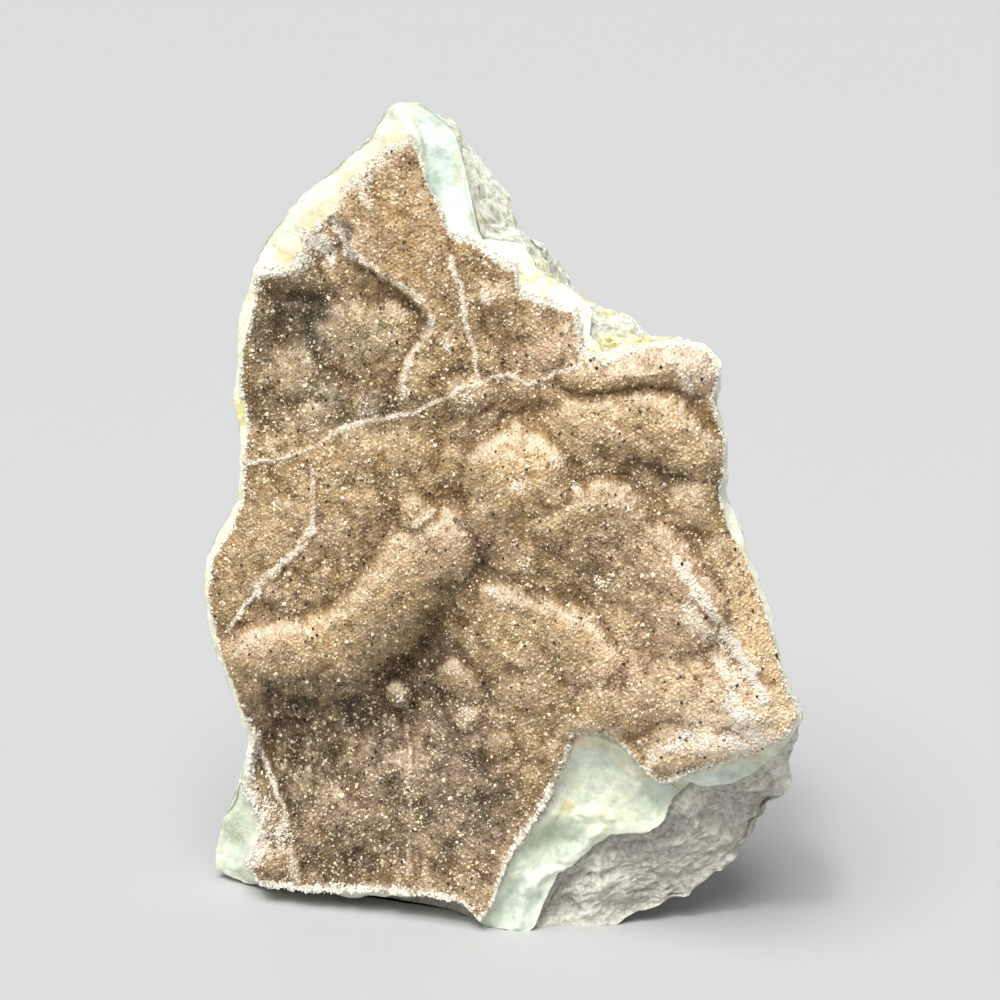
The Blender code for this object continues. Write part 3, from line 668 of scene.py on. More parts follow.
# The crust's form and colour are worked out once, on a square grid, and read between its points
GRID_STEP = 0.25
GRID_X = np.arange(-60.0, 62.0, GRID_STEP)
GRID_Z = np.arange(-68.0, 86.0, GRID_STEP)
grid_dx, grid_dz = (values.ravel() for values in np.meshgrid(GRID_X, GRID_Z))
on_crust = np.nonzero(crust_share(grid_dx, grid_dz) < 1.05)[0]
crust_dx, crust_dz = grid_dx[on_crust], grid_dz[on_crust]
white, rise = marks(crust_dx, crust_dz)
fade = np.sqrt(np.clip((1.0 - crust_share(crust_dx, crust_dz)) / RIM_FADE, 0.0, 1.0))
lift_grid = np.zeros((len(GRID_Z), len(GRID_X), 1))
lift_grid.reshape(-1, 1)[on_crust, 0] = fade * relief(crust_dx, crust_dz) + rise
color_grid = np.zeros((len(GRID_Z), len(GRID_X), 3))
color_grid.reshape(-1, 3)[on_crust] = druse_color(crust_dx, crust_dz, white)


def local_mean(grid, reach):
    """Mean of a grid over a square window of the given half width in cells, by running sums."""
    for axis in (0, 1):
        total = np.cumsum(np.pad(grid, [(reach + 1, reach) if a == axis else (0, 0) for a in (0, 1)], "edge"), axis)
        high = np.take(total, np.arange(2 * reach + 1, total.shape[axis]), axis)
        grid = (high - np.take(total, np.arange(total.shape[axis] - 2 * reach - 1), axis)) / (2 * reach + 1)
    return grid


# The crust's colour is made paler on its proud parts and on the thin crests that face up, partly frost and partly a
# painted highlight, and darker and browner in its creases and hollows, which is painted shade.
proud = np.zeros(lift_grid.shape[:2])
for reach, scale, weight in ((4, 0.12, 0.4), (10, 0.6, 0.6)):
    proud += weight * np.tanh((lift_grid[:, :, 0] - local_mean(local_mean(lift_grid[:, :, 0], reach), reach)) / scale)
proud = proud.reshape(-1)[on_crust]
tint = color_grid.reshape(-1, 3)[on_crust]
falling = -np.gradient(lift_grid[:, :, 0], GRID_STEP, axis=0).reshape(-1)[on_crust]
# Painted shade in the sunk parts, and a painted highlight, partly frost, on the proud parts.
tint = blend(tint, np.clip(-0.8 * proud, 0, 0.6), tint * np.array([0.54, 0.47, 0.39]))
tint = blend(tint, np.clip(0.8 * proud - 0.1, 0, 0.22), (0.68, 0.50, 0.30))
# Thin crests that face up get a painted highlight, and thin creases a painted shade.
fine = lift_grid[:, :, 0] - local_mean(local_mean(lift_grid[:, :, 0], 3), 3)
painted_crest_highlight = np.clip(8.0 * fine.reshape(-1)[on_crust] - 0.15, 0, 1) * np.clip(1.4 * falling - 0.2, 0, 1)
tint = blend(tint, 0.5 * painted_crest_highlight, (0.86, 0.73, 0.56))
painted_crease_shade = np.clip(-8.0 * fine.reshape(-1)[on_crust] - 0.1, 0, 1)
tint = blend(tint, 0.4 * painted_crease_shade, tint * np.array([0.50, 0.43, 0.36]))
color_grid.reshape(-1, 3)[on_crust] = tint


def read_grid(grid, dx, dz):
    """A grid's value at loose places: its four nearest points, weighted by nearness."""
    column = np.clip((dx - GRID_X[0]) / GRID_STEP, 0, len(GRID_X) - 1.001)
    level = np.clip((dz - GRID_Z[0]) / GRID_STEP, 0, len(GRID_Z) - 1.001)
    i, j = column.astype(int), level.astype(int)
    u, v = (column - i)[:, None], (level - j)[:, None]
    low = grid[j, i] * (1 - u) + grid[j, i + 1] * u
    high = grid[j + 1, i] * (1 - u) + grid[j + 1, i + 1] * u
    return low * (1 - v) + high * v


def crystal_face(dx, dz):
    """Depth of the crust's surface: the face plane less the lift read from the grid."""
    return face_plane(dx, dz) - read_grid(lift_grid, dx, dz)[:, 0]


# The chalcedony is a waxy, pale green to blue-green band between rock and crystals. It is bare where
# the crust broke off: a scalloped face at the lower right, and slanting edges up both upper sides.
RIND_SPOKES = 1000
RIND_HIDDEN = (0.2, 0.4, 0.6, 0.72)
RIND_UNDER = np.linspace(0.8, 0.98, 10)
RIND_BARE_ROWS = 58
RIND_WALL_ROWS = 14
RIND_BACK = (0.88, 0.6, 0.3)
UNDER_CRUST = 1.7

turns = np.arange(RIND_SPOKES) / RIND_SPOKES * math.tau
crust_reach = outline_reach(CRUST_EDGE, turns)
rind_reach = rind_rim(turns)
rind_setback = outline_setback(RIND_EDGE, turns)
wall = rind_wall(turns)
rind_rows = [plane_ring(share * crust_reach, turns, 0.75 * RIND_DEPTH) for share in RIND_HIDDEN]
for share in RIND_UNDER:
    dx, dz = share * crust_reach * np.cos(turns), share * crust_reach * np.sin(turns)
    rind_rows.append(ring_points(share * crust_reach, turns, crystal_face(dx, dz) + UNDER_CRUST))
for step in range(RIND_BARE_ROWS):
    share = step / (RIND_BARE_ROWS - 1)
    setback = UNDER_CRUST + share * (rind_setback - UNDER_CRUST)
    rind_rows.append(plane_ring(crust_reach + share * (rind_reach - crust_reach), turns, setback))
for step in range(1, RIND_WALL_ROWS + 1):
    share = step / RIND_WALL_ROWS
    rind_rows.append(plane_ring(rind_reach - WALL_TAPER * wall * share, turns, rind_setback + wall * share))
wall_reach = rind_reach - WALL_TAPER * wall
rind_rows += [plane_ring(share * wall_reach, turns, RIND_DEPTH) for share in RIND_BACK]
rind_rows = np.array(rind_rows)


# Ribs and hollows of the bare chalcedony: x and z of the points from the hub, height, half width
RIND_FORMS = [
    ([(15, -28.5), (16.5, -26.5), (20.5, -25.2), (24, -26.7), (26.5, -29)], 1.0, 0.8),
    ([(16.5, -39), (19.5, -40), (23, -40.5)], 0.8, 0.8),
    ([(6, -61), (9, -53), (13.5, -49.5), (18, -45.5), (21, -43.5)], 1.1, 1.3),
    ([(26.5, -30), (27, -34.5), (28, -38.5)], 0.7, 1.5),
    ([(20.5, -33)], -1.2, 5),
    ([(13.5, -44.5), (11, -46.5)], -1.5, 3),
    ([(30.5, -37)], -1.2, 4),
    ([(5.5, -55.5), (4.5, -60)], -0.8, 2.5),
    ([(-48, -54), (-45.5, -47)], -0.8, 3),
    ([(-27.5, 65), (-20, 72)], -0.8, 3),
    ([(-7.5, 74), (-5.5, 67.5)], -0.6, 4),
    ([(-15.5, 80.5), (-13, 78.5), (-11, 74), (-9.5, 68)], 0.8, 1.2)]


def bubbly(points):
    """Share of the weathered, bubbly skin: full on the upper right, none elsewhere."""
    direction = np.degrees(np.arctan2(points[:, 2] - HUB_Z, points[:, 0] - HUB_X))
    return np.interp(direction, [36.0, 42.0, 78.0, 92.0], [0.0, 1.0, 1.0, 0.0])


def rind_bumps(points):
    """Height of the bare chalcedony: shallow shell-shaped scallops with blunt ribs between them, read
    at places swayed by noise, with the listed ribs and hollows, and bubbles where it is weathered."""
    swayed = points + 1.2 * np.stack([waves(points, 5.0, seed=45), waves(points, 5.0, seed=46),
                                      waves(points, 5.0, seed=47)], axis=1)
    near, second, chip = chips(swayed, 9.0, seed=41)
    small, small_second, small_chip = chips(swayed, 3.0, seed=42)
    height = 1.8 * (near ** 2 - 0.3) - 0.5 * np.exp(-(second - near) / 0.12)
    height += 0.25 * (small ** 2 - 0.3) - 0.1 * np.exp(-(small_second - small) / 0.15)
    height += 0.35 * waves(points, 4.0, seed=43, layers=4)
    sway = 0.8 * waves(points, 3.0, seed=48, layers=2)
    for chain, top, half_width in RIND_FORMS:
        distance = chain_place(points[:, 0] - HUB_X + sway, points[:, 2] - HUB_Z - sway, chain)[0]
        height += top * np.exp(-(distance / half_width) ** 2)
    bubble, bubble_second, bubble_chip = chips(points, 1.9, seed=49)
    return height + bubbly(points) * (0.9 * (0.35 - bubble ** 2) + 0.3 * bubble_chip)


first_bare = len(RIND_HIDDEN) + len(RIND_UNDER)
last_wall = first_bare + RIND_BARE_ROWS + RIND_WALL_ROWS
row = np.arange(len(rind_rows))
bare = np.clip((row - first_bare) / 5.0, 0, 1) * np.clip((last_wall - row) / 4.0, 0, 1)
width = np.clip((rind_reach - crust_reach) / 4.0, 0.12, 1.0)[None, :]
side = np.clip((row - first_bare - RIND_BARE_ROWS + 8) / 8.0, 0, 1)[:, None]
bumps = flat_grid(rind_rows, rind_bumps) * bare[:, None] * (width + side * (np.clip(wall / 7.0, 0.12, 0.7) - width))
rind_rows = rind_rows + grid_normals(rind_rows) * bumps[:, :, None]
rind_rows[:, :, 2] = np.maximum(rind_rows[:, :, 2], 0.0)

# Shares of cream, aqua, orange band and white in the chalcedony: direction in degrees, and the shares
RIND_LOOK = [
    (0, 0.5, 0.1, 0.1, 0.5), (34, 0.4, 0.1, 0.0, 0.6), (42, 0.2, 0.2, 0.0, 0.6), (68, 0.1, 0.2, 0.0, 0.8),
    (90, 0.1, 0.3, 0.0, 0.7), (91.5, 0.0, 0.9, 0.0, 0.2), (98.3, 0.0, 0.9, 0.0, 0.2), (99, 0.3, 0.1, 0.2, 0.5),
    (104, 0.3, 0.0, 1.0, 0.3), (118, 0.4, 0.0, 1.0, 0.3), (122, 0.2, 0.1, 0.5, 0.3), (130, 0.3, 0.2, 0.1, 0.4),
    (134, 0.6, 0.0, 0.1, 0.4), (212, 0.6, 0.0, 0.2, 0.4), (216, 0.1, 0.3, 0.1, 0.3), (234, 0.1, 0.3, 0.1, 0.4),
    (237, 0.1, 0.1, 0.0, 0.9), (264, 0.1, 0.1, 0.0, 0.9), (268, 0.1, 0.35, 0.0, 0.3), (300, 0.2, 0.3, 0.0, 0.4),
    (312, 0.4, 0.2, 0.1, 0.4), (318, 0.1, 0.5, 0.3, 0.4), (334, 0.2, 0.4, 0.6, 0.4), (342, 0.5, 0.1, 0.2, 0.4)]


# Regions of the chalcedony with a colour: x and z from the hub, radii, strength, colour. All are its own colour but
# the dark grey-green one at (13, -45), which is painted shade in a hollow.
RIND_TINTS = [
    (20.5, -31, 5, 5, 0.8, (0.82, 0.89, 0.77)), (24.5, -38.5, 4.5, 4, 0.8, (0.84, 0.85, 0.60)),
    (19, -42, 5, 2.5, 0.7, (0.72, 0.80, 0.56)), (31, -36, 3, 4, 0.8, (0.70, 0.84, 0.75)),
    # Painted shade: the dark grey-green tint at (13, -45) stands for the shadow in the hollow there.
    (13, -45, 5, 3, 0.8, (0.47, 0.54, 0.41)), (15, -38.5, 1.2, 1, 0.8, (0.74, 0.62, 0.34)),
    (6, -56, 5, 7, 0.7, (0.66, 0.76, 0.64)), (-35, 54.5, 2, 1.6, 0.9, (0.86, 0.56, 0.28)),
    (-46, -50, 3, 7, 0.6, (0.56, 0.64, 0.45)), (40.5, -31, 5, 2, 0.8, (0.76, 0.88, 0.80)),
    (-26.5, 62.5, 4, 3, 0.6, (0.80, 0.60, 0.36)), (17.2, -26.5, 2.3, 1.5, 1.0, (1.0, 0.86, 0.58)),
    (22.2, -25.6, 3.4, 1.5, 1.0, (1.0, 0.88, 0.62)), (29.5, -31.5, 3, 1.3, 0.8, (0.85, 0.74, 0.50)),
    (-43.3, 27, 1.6, 2.6, 0.9, (0.86, 0.78, 0.24))]


def rind_color(points, share, height):
    """Colour of the chalcedony: mint, with shares of cream, aqua and white by direction, an orange band
    beside the crust, faint bands along it, cloudy patches, darker green in the scallops as painted shade,
    and paler on the ribs, partly their own white and partly a painted highlight."""
    direction = np.degrees(np.arctan2(points[:, 2] - HUB_Z, points[:, 0] - HUB_X))
    at, cream, aqua, orange, white = zip(*RIND_LOOK)
    cream, aqua, orange, white = (np.interp(direction, at, values, period=360.0)
                                  for values in (cream, aqua, orange, white))
    cloud = waves(points, 4.5, seed=51, layers=3)
    color = np.tile([0.76, 0.80, 0.63], (len(points), 1))
    color = blend(color, aqua, (0.66, 0.79, 0.69))
    color = blend(color, cream, (0.84, 0.81, 0.57))
    color = blend(color, np.clip(white + 0.35 * cloud, 0, 1), (0.85, 0.86, 0.72))
    for x, z, radius_x, radius_z, strength, tint in RIND_TINTS:
        away = ((points[:, 0] - HUB_X - x) / radius_x) ** 2 + ((points[:, 2] - HUB_Z - z) / radius_z) ** 2
        color = blend(color, np.clip(strength * np.exp(-away) * (1.0 + 0.5 * cloud), 0, 1), tint)
    band = np.exp(-((share - 0.18 - 0.12 * cloud) / 0.26) ** 2)
    color = blend(color, np.clip(orange * band, 0, 1), (0.84, 0.64, 0.38))
    stripes = np.clip(np.sin(38.0 * (share + 0.05 * cloud)), 0, 1) * np.clip(1.0 - 1.6 * share, 0, 1)
    color = blend(color, 0.35 * stripes * np.clip(orange, 0, 1), (0.76, 0.70, 0.52))
    # Painted shade: darker green in the sunk scallops. Painted highlight, in part: paler on the raised ribs.
    color = blend(color, np.clip(-0.4 * height - 0.1, 0, 0.2), (0.50, 0.60, 0.47))
    color = blend(color, np.clip(0.6 * height, 0, 0.6), (0.84, 0.84, 0.72))
    color = color * (1.0 + 0.07 * waves(points, 1.1, seed=54, layers=3))[:, None]
    stain = np.clip(3.0 * waves(points, 3.2, seed=53, layers=2) - 1.3, 0, 1)
    color = blend(color, 0.45 * stain, (0.66, 0.60, 0.30))
    return weathered(color, points, bubbly(points))


share = np.clip((row - first_bare) / RIND_BARE_ROWS, 0, 1)[:, None] * np.ones(RIND_SPOKES)
rind_tint = rind_color(rind_rows.reshape(-1, 3), share.ravel(), bumps.ravel()).reshape(rind_rows.shape)
layer = (row - first_bare - RIND_BARE_ROWS)[:, None] / RIND_WALL_ROWS + 0.25 * bumps
layer = 0.5 * np.clip(np.sin(11.0 * layer), 0, 1) * side
rind_tint = rind_tint + layer[:, :, None] * (np.array([0.90, 0.86, 0.70]) - rind_tint)
rind_front = np.array([[HUB_X, face_plane(0.0, 0.0) + 0.75 * RIND_DEPTH, HUB_Z]])
rind_back = np.array([[HUB_X, face_plane(0.0, 0.0) + RIND_DEPTH, HUB_Z]])
chalcedony = closed_skin("chalcedony_band", rind_front, rind_rows, rind_back, rind_tint)

rind_material, nodes, links = new_material("waxy chalcedony")
shader = nodes["Principled BSDF"]
cloud = add_noise(nodes, links, 650.0, 6.0, 0.65)
links.new(tinted_color(nodes, links, cloud, 0.84, 1.10), shader.inputs["Base Color"])
shine = add_ramp(nodes, links, cloud.outputs["Fac"], [(0.35, 0.40), (0.65, 0.65)])
links.new(shine.outputs["Color"], shader.inputs["Roughness"])
shader.inputs["IOR"].default_value = 1.54
shader.inputs["Subsurface Weight"].default_value = 0.15
shader.inputs["Subsurface Radius"].default_value = (0.9, 1.0, 0.8)
shader.inputs["Subsurface Scale"].default_value = 0.0012
ripple = add_bump(nodes, links, add_noise(nodes, links, 900.0, 6.0, 0.65).outputs["Fac"], 0.0005, 0.7)
links.new(ripple.outputs["Normal"], shader.inputs["Normal"])
chalcedony.data.materials.append(rind_material)
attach(chalcedony, "root")
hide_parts("agate_rind")

# The bed of the crust is quartz grown in close six-sided tips that share their valleys. It is one
# closed sheet of a triangle lattice, in which every third point stands up as a tip.
LATTICE = 0.47
BED_THICKNESS = 1.5


across = int(110 / LATTICE)
upward = int(142 / (LATTICE * math.sqrt(0.75)))
column, level = np.meshgrid(np.arange(across), np.arange(upward))
rng = np.random.default_rng(7)
lattice_x = -54 + LATTICE * (column + 0.5 * (level % 2))
lattice_z = -62 + LATTICE * math.sqrt(0.75) * level
kind = (column - (level - level % 2) // 2 - level) % 3
lattice_x = (lattice_x + rng.uniform(-0.14, 0.14, lattice_x.shape)).ravel()
lattice_z = (lattice_z + rng.uniform(-0.14, 0.14, lattice_z.shape)).ravel()
kind = kind.ravel()
inside = crust_share(lattice_x, lattice_z) < 1.0
number = (column + across * level)[:-1, :-1]
odd = (level % 2)[:-1, :-1].astype(bool)
lower_left, lower_right = number, number + 1
upper_left, upper_right = number + across, number + across + 1
first = np.where(odd[..., None], np.stack([lower_left, lower_right, upper_right], -1),
                 np.stack([lower_left, lower_right, upper_left], -1)).reshape(-1, 3)
other = np.where(odd[..., None], np.stack([lower_left, upper_right, upper_left], -1),
                 np.stack([lower_right, upper_right, upper_left], -1)).reshape(-1, 3)
faces = np.concatenate([first, other])
faces = faces[inside[faces].all(axis=1)]
used = np.unique(faces)
renumber = np.full(len(lattice_x), -1)
renumber[used] = np.arange(len(used))
faces = renumber[faces]
bed_x, bed_z, kind = lattice_x[used], lattice_z[used], kind[used]


def face_normals(dx, dz):
    """Outward direction of the crystal face: from the slopes of its depth along x and along z."""
    step = 0.4
    slope_x = (crystal_face(dx + step, dz) - crystal_face(dx - step, dz)) / (2 * step)
    slope_z = (crystal_face(dx, dz + step) - crystal_face(dx, dz - step)) / (2 * step)
    normal = np.stack([slope_x, -np.ones_like(dx), slope_z], axis=1)
    return normal / np.linalg.norm(normal, axis=1, keepdims=True)


def on_face(dx, dz):
    """Points of the crystal face in the room, from x and z about the hub."""
    return np.stack([HUB_X + dx, crystal_face(dx, dz), HUB_Z + dz], axis=1)


bed_normals = face_normals(bed_x, bed_z)
tip = np.where(kind == 0, rng.uniform(0.05, 0.25, len(kind)), rng.uniform(-0.10, 0.02, len(kind)))
lean = rng.normal(0.0, 0.10, (len(kind), 3)) * (kind == 0)[:, None]
bed_front = on_face(bed_x, bed_z) + bed_normals * tip[:, None] + lean
bed_back = on_face(bed_x, bed_z) + np.array([0.0, BED_THICKNESS, 0.0])
edges = np.concatenate([faces[:, [0, 1]], faces[:, [1, 2]], faces[:, [2, 0]]])
code = edges[:, 0] * len(used) + edges[:, 1]
lonely = ~np.isin(edges[:, 1] * len(used) + edges[:, 0], code)
rim_edges = edges[lonely]
count = len(used)
rim_quads = np.stack([rim_edges[:, 1], rim_edges[:, 0], rim_edges[:, 0] + count, rim_edges[:, 1] + count], axis=1)
corners = np.concatenate([faces.ravel(), (faces[:, ::-1] + count).ravel(), rim_quads.ravel()])
sizes = np.concatenate([np.full(2 * len(faces), 3), np.full(len(rim_quads), 4)])
bed_tint = read_grid(color_grid, bed_x, bed_z) * rng.uniform(0.8, 1.0, (count, 1))
back_tint = np.tile([0.82, 0.76, 0.62], (count, 1))
druse_bed = mesh_from("druse_bed", np.vstack([bed_front, bed_back]), corners, sizes,
                      np.vstack([bed_tint, back_tint]))


def quartz_material(name, low_shine, high_shine):
    """Glassy quartz grain: the grain's own colour, finely clouded, with a shine that changes over it."""
    material, nodes, links = new_material(name)
    shader = nodes["Principled BSDF"]
    cloud = add_noise(nodes, links, 1500.0, 3.0)
    links.new(tinted_color(nodes, links, cloud, 0.86, 1.10), shader.inputs["Base Color"])
    shine = add_ramp(nodes, links, cloud.outputs["Fac"], [(0.35, low_shine), (0.65, high_shine)])
    links.new(shine.outputs["Color"], shader.inputs["Roughness"])
    shader.inputs["IOR"].default_value = 1.54
    shader.inputs["Specular IOR Level"].default_value = 0.35
    return material


druse_material = quartz_material("brown drusy quartz", 0.12, 0.35)
druse_bed.data.materials.append(druse_material)
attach(druse_bed, "root")
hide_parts("druse_crust")

# The crust sparkles with loose-standing crystal tips of many sizes that grew over its bed. Each is a
# six-sided pyramid with its foot in the bed, leaning its own way, and a share are painted cream as glints.
FINE_SPACING = 0.44
COARSE_SPACING = 1.25
HEXAGON = np.arange(6) / 6 * math.tau


def scattered(spacing, generator):
    """Places over the crust: a triangle lattice of the given spacing, each point moved at random."""
    count_x = int(110 / spacing)
    count_z = int(142 / (spacing * math.sqrt(0.75)))
    column, level = np.meshgrid(np.arange(count_x), np.arange(count_z))
    dx = -54 + spacing * (column + 0.5 * (level % 2))
    dz = -62 + spacing * math.sqrt(0.75) * level
    dx = (dx + generator.uniform(-0.45, 0.45, dx.shape) * spacing).ravel()
    dz = (dz + generator.uniform(-0.45, 0.45, dz.shape) * spacing).ravel()
    inside = crust_share(dx, dz) < 0.995
    return dx[inside], dz[inside]


def crystal_points(name, feet, directions, radii, heights, colors, generator, tilt=0.45, sunk=0.35):
    """Crystals as one mesh: a ring of six corners about each leaning axis, sunk by a share of the
    radius, a tip on the axis, six sides and a six-sided foot."""
    axis = directions + generator.normal(0.0, tilt, directions.shape)
    axis /= np.linalg.norm(axis, axis=1, keepdims=True)
    helper = generator.normal(0.0, 1.0, axis.shape)
    side = np.cross(axis, helper)
    side /= np.linalg.norm(side, axis=1, keepdims=True)
    other = np.cross(axis, side)
    low = feet - axis * (sunk * radii)[:, None]
    ring = (low[:, None, :]
            + radii[:, None, None] * (np.cos(HEXAGON)[None, :, None] * side[:, None, :]
                                      + np.sin(HEXAGON)[None, :, None] * other[:, None, :]))
    tips = feet + axis * heights[:, None]
    points = np.concatenate([ring, tips[:, None, :]], axis=1).reshape(-1, 3)
    start = 7 * np.arange(len(feet))[:, None]
    corner = np.arange(6)
    beside = (corner + 1) % 6
    sides = np.stack([start + corner, start + beside, np.broadcast_to(start + 6, (len(feet), 6))], axis=2)
    foot = start + corner[::-1]
    corners = np.concatenate([sides.reshape(len(feet), 18), foot], axis=1).ravel()
    sizes = np.tile([3, 3, 3, 3, 3, 3, 6], len(feet))
    return mesh_from(name, points, corners, sizes, np.repeat(colors, 7, axis=0))


def grain_colors(dx, dz, generator, glints, dark=0.06):
    """Colour of each crystal: the crust's colour made lighter or darker, a share turned to cream as
    painted glints, and a few dark ones."""
    chance = generator.uniform(0.0, 1.0, len(dx))
    colors = read_grid(color_grid, dx, dz) * generator.uniform(0.62, 1.12, (len(dx), 1))
    # Painted glints: a share of the crystals, in clumps, is turned to cream.
    clumps = 1.0 + 0.9 * waves(np.stack([dx, np.zeros_like(dx), dz], axis=1), 2.2, seed=82, layers=2)
    painted_glint = generator.uniform(0.35, 1.0, len(dx)) ** 1.5 * (chance < glints * clumps)
    colors = blend(colors, painted_glint, (1.0, 0.87, 0.62))
    gloomy = (chance > 1 - dark)[:, None]
    return np.clip(np.where(gloomy, colors * 0.45, colors), 0.0, 1.0)


def finish_crystals(piece, material):
    """Put the material on, and let the piece stand for the crust with its bed."""
    piece.data.materials.append(material)
    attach(piece, "root")
    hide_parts("druse_crust")


rng = np.random.default_rng(11)
dx, dz = scattered(FINE_SPACING, rng)
radii = np.clip(rng.lognormal(math.log(0.21), 0.30, len(dx)), 0.13, 0.5)
directions = face_normals(dx, dz)
feet = on_face(dx, dz)
colors = grain_colors(dx, dz, rng, 0.23)
FINE_PIECES = ("druse_tips_low", "druse_tips_middle", "druse_tips_high")
for name, part in zip(FINE_PIECES, np.array_split(np.arange(len(dx)), len(FINE_PIECES))):
    finish_crystals(crystal_points(name, feet[part], directions[part], radii[part], radii[part] * 0.85,
                                   colors[part], rng, tilt=0.35), druse_material)
dx, dz = scattered(COARSE_SPACING, rng)
radii = np.clip(rng.lognormal(math.log(0.34), 0.25, len(dx)), 0.22, 0.7)
finish_crystals(crystal_points("druse_tips_coarse", on_face(dx, dz), face_normals(dx, dz), radii, radii * 1.05,
                               grain_colors(dx, dz, rng, 0.35), rng), druse_material)

# White quartz frosts the seams, the crests and parts of the crust's broken edge. It is the same kind of
# crystal, milky and closely packed, with small tufts of it here and there.
TUFTS = [
    (6, 19.5, 0.75, 90), (-6.5, 41.5, 0.6, 40), (1, 50.5, 0.6, 40), (7.5, 5.5, 0.6, 40), (20, 3, 0.6, 35),
    (16, 19, 0.4, 25), (1.5, 0, 0.5, 30), (-2.5, 33, 1.2, 60), (-30, 26.2, 0.9, 20), (-33, 54, 1.5, 170),
    (-28.5, 57.5, 1.3, 120), (-38, 52.5, 1.0, 110), (-39.5, -44, 1.2, 120), (-37, -49, 1.3, 130),
    (36, 41, 1.4, 45), (-3, -23, 0.8, 60), (-15, -22, 0.7, 40), (-19, 73, 0.8, 60), (-21, 67, 0.9, 90), (42, -5.2, 1.2, 130),
    (44, -8.5, 1.2, 120), (44.5, -18, 1.6, 150), (38, -23, 1.6, 120)]


def along_chain(points, spacing, generator, half_width):
    """Places along a chain of straight runs, at even spacing, moved to each side at random."""
    points = np.array(points, float)
    distance = np.concatenate([[0.0], np.cumsum(np.hypot(*np.diff(points, axis=0).T))])
    at = np.arange(0.0, distance[-1], spacing)
    dx = np.interp(at, distance, points[:, 0]) + generator.normal(0.0, half_width, len(at))
    dz = np.interp(at, distance, points[:, 1]) + generator.normal(0.0, half_width, len(at))
    return dx, dz


rng = np.random.default_rng(13)
dx, dz = scattered(0.30, rng)
keep = rng.uniform(0.3, 1.5, len(dx)) < marks(dx, dz)[0]
dx, dz = dx[keep], dz[keep]
for x, z, spread, count in TUFTS:
    dx = np.concatenate([dx, x + rng.normal(0.0, spread, count)])
    dz = np.concatenate([dz, z + rng.normal(0.0, spread, count)])
keep = crust_share(dx, dz) < 0.995
dx, dz = dx[keep], dz[keep]
radii = rng.uniform(0.14, 0.32, len(dx))
milky = np.array([0.97, 0.89, 0.76]) * rng.uniform(0.75, 1.0, (len(dx), 1))
white_material = quartz_material("milky quartz", 0.2, 0.45)
finish_crystals(crystal_points("seam_crystals", on_face(dx, dz), face_normals(dx, dz), radii, radii * 1.2,
                               milky, rng), white_material)


def bare_face(dx, dz):
    """Depth of the surface on both sides of the crust's edge: the crystal face within it, and the bare
    chalcedony's slope beyond it."""
    direction = np.arctan2(dz, dx)
    inner, outer = outline_reach(CRUST_EDGE, direction), outline_reach(RIND_EDGE, direction)
    share = np.clip((np.hypot(dx, dz) - inner) / np.maximum(outer - inner, 0.5), 0, 1)
    setback = UNDER_CRUST + share * (outline_setback(RIND_EDGE, direction) - UNDER_CRUST)
    return np.where(crust_share(dx, dz) < 1.0, crystal_face(dx, dz), face_plane(dx, dz) + setback), share


edge_loop = CRUST_EDGE + CRUST_EDGE[:1]
edge_x, edge_z = along_chain(edge_loop, 0.03, rng, 0.1)
chance, spread = edge_frost(edge_x, edge_z)
clumps = 0.75 + 0.9 * waves(np.stack([edge_x, np.zeros_like(edge_x), edge_z], axis=1), 2.2, seed=81, layers=2)
keep = rng.uniform(0.0, 1.0, len(edge_x)) < chance * np.clip(clumps, 0.05, 1.0)
edge_x, edge_z, spread = edge_x[keep], edge_z[keep], spread[keep]
shift = 1.0 + rng.normal(0.0, 1.0, len(edge_x)) * 0.6 * spread / np.hypot(edge_x, edge_z)
edge_x, edge_z = edge_x * shift, edge_z * shift
depth, beyond = bare_face(edge_x, edge_z)
keep = beyond < 0.8
edge_x, edge_z, depth = edge_x[keep], edge_z[keep], depth[keep]
radii = rng.uniform(0.14, 0.40, len(edge_x)) * rng.choice([1.0, 1.5], len(edge_x), p=[0.85, 0.15])
outward = np.stack([edge_x, np.full(len(edge_x), -90.0), edge_z], axis=1)
outward /= np.linalg.norm(outward, axis=1, keepdims=True)
feet = np.stack([HUB_X + edge_x, depth, np.maximum(HUB_Z + edge_z, 1.0)], axis=1)
milky = np.array([0.91, 0.86, 0.74]) * rng.uniform(0.7, 1.0, (len(edge_x), 1))
finish_crystals(crystal_points("edge_crystals", feet, outward, radii, radii * 0.9, milky, rng), white_material)

# Tiny dark iron grains and yellow grains sit among the quartz tips all over the crust.
SPECK_COUNT = 420
YELLOW_COUNT = 70
rng = np.random.default_rng(17)
dx, dz = scattered(2.2, rng)
pick = rng.permutation(len(dx))
dark_pick, yellow_pick = pick[:SPECK_COUNT], pick[SPECK_COUNT:SPECK_COUNT + YELLOW_COUNT]
for name, chosen, color, low, high in (
        ("iron_specks", dark_pick, (0.035, 0.025, 0.018), 0.15, 0.34),
        ("yellow_specks", yellow_pick, (0.84, 0.68, 0.32), 0.20, 0.42)):
    radii = rng.uniform(low, high, len(chosen))
    colors = np.tile(color, (len(chosen), 1)) * rng.uniform(0.7, 1.2, (len(chosen), 1))
    feet = on_face(dx[chosen], dz[chosen]) + face_normals(dx[chosen], dz[chosen]) * 0.28
    finish_crystals(crystal_points(name, feet, face_normals(dx[chosen], dz[chosen]), radii, radii * 0.6,
                                   np.clip(colors, 0, 1), rng), druse_material)

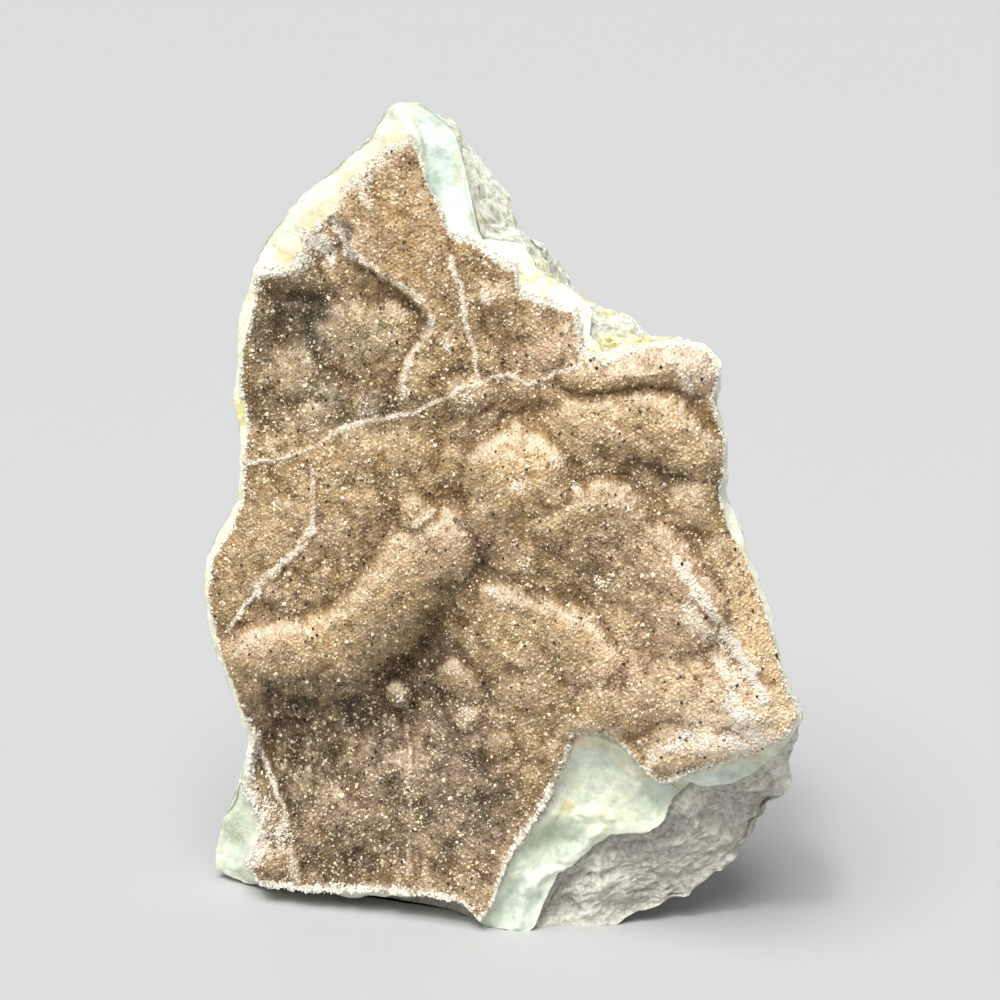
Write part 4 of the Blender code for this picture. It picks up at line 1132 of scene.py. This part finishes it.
# The studio is a wide pale floor under a soft sky light from above, and a small, weaker light that wakes
# the glints. The camera looks as the photograph does, fifteen degrees down.
PHOTO_DISTANCE = 0.38
PHOTO_PITCH = math.radians(15.0)
PHOTO_AIM = (0.001, -0.0048, 0.075)
PHOTO_LENS = 76.6

floor_mesh = bpy.data.meshes.new("studio_floor")
floor_mesh.from_pydata([(-9, -9, 0), (9, -9, 0), (9, 9, 0), (-9, 9, 0)], [], [(0, 1, 2, 3)])
studio_floor = bpy.data.objects.new("studio_floor", floor_mesh)
bpy.context.scene.collection.objects.link(studio_floor)
floor_material, nodes, links = new_material("pale floor")
nodes["Principled BSDF"].inputs["Base Color"].default_value = (0.44, 0.44, 0.435, 1.0)
nodes["Principled BSDF"].inputs["Roughness"].default_value = 0.7
floor_mesh.materials.append(floor_material)


def wide_sun(name, rise, turn, spread, power):
    """A far light of the given strength and spread, at a height and a turn from the camera's side."""
    lamp = bpy.data.lights.new(name, "SUN")
    lamp.energy = power
    lamp.angle = math.radians(spread)
    light = bpy.data.objects.new(name, lamp)
    bpy.context.scene.collection.objects.link(light)
    light.rotation_euler = (math.radians(90.0 - rise), 0.0, math.radians(turn))


wide_sun("soft_sky", 66.0, -25.0, 50.0, 3.6)
wide_sun("small_sun", 60.0, -28.0, 8.0, 1.0)
world = bpy.data.worlds.new("studio_air")
world.use_nodes = True
world.node_tree.nodes["Background"].inputs["Color"].default_value = (0.92, 0.95, 1.0, 1.0)
world.node_tree.nodes["Background"].inputs["Strength"].default_value = 0.38
bpy.context.scene.world = world
bpy.context.scene.view_settings.view_transform = "Standard"

camera_data = bpy.data.cameras.new("photo_camera")
camera_data.sensor_width = 36.0
camera_data.lens = PHOTO_LENS
camera_data.clip_start = 0.01
photo_camera = bpy.data.objects.new("photo_camera", camera_data)
bpy.context.scene.collection.objects.link(photo_camera)
photo_camera.location = (PHOTO_AIM[0], PHOTO_AIM[1] - PHOTO_DISTANCE * math.cos(PHOTO_PITCH),
                         PHOTO_AIM[2] + PHOTO_DISTANCE * math.sin(PHOTO_PITCH))
photo_camera.rotation_euler = (math.pi / 2 - PHOTO_PITCH, 0.0, 0.0)
bpy.context.scene.camera = photo_camera
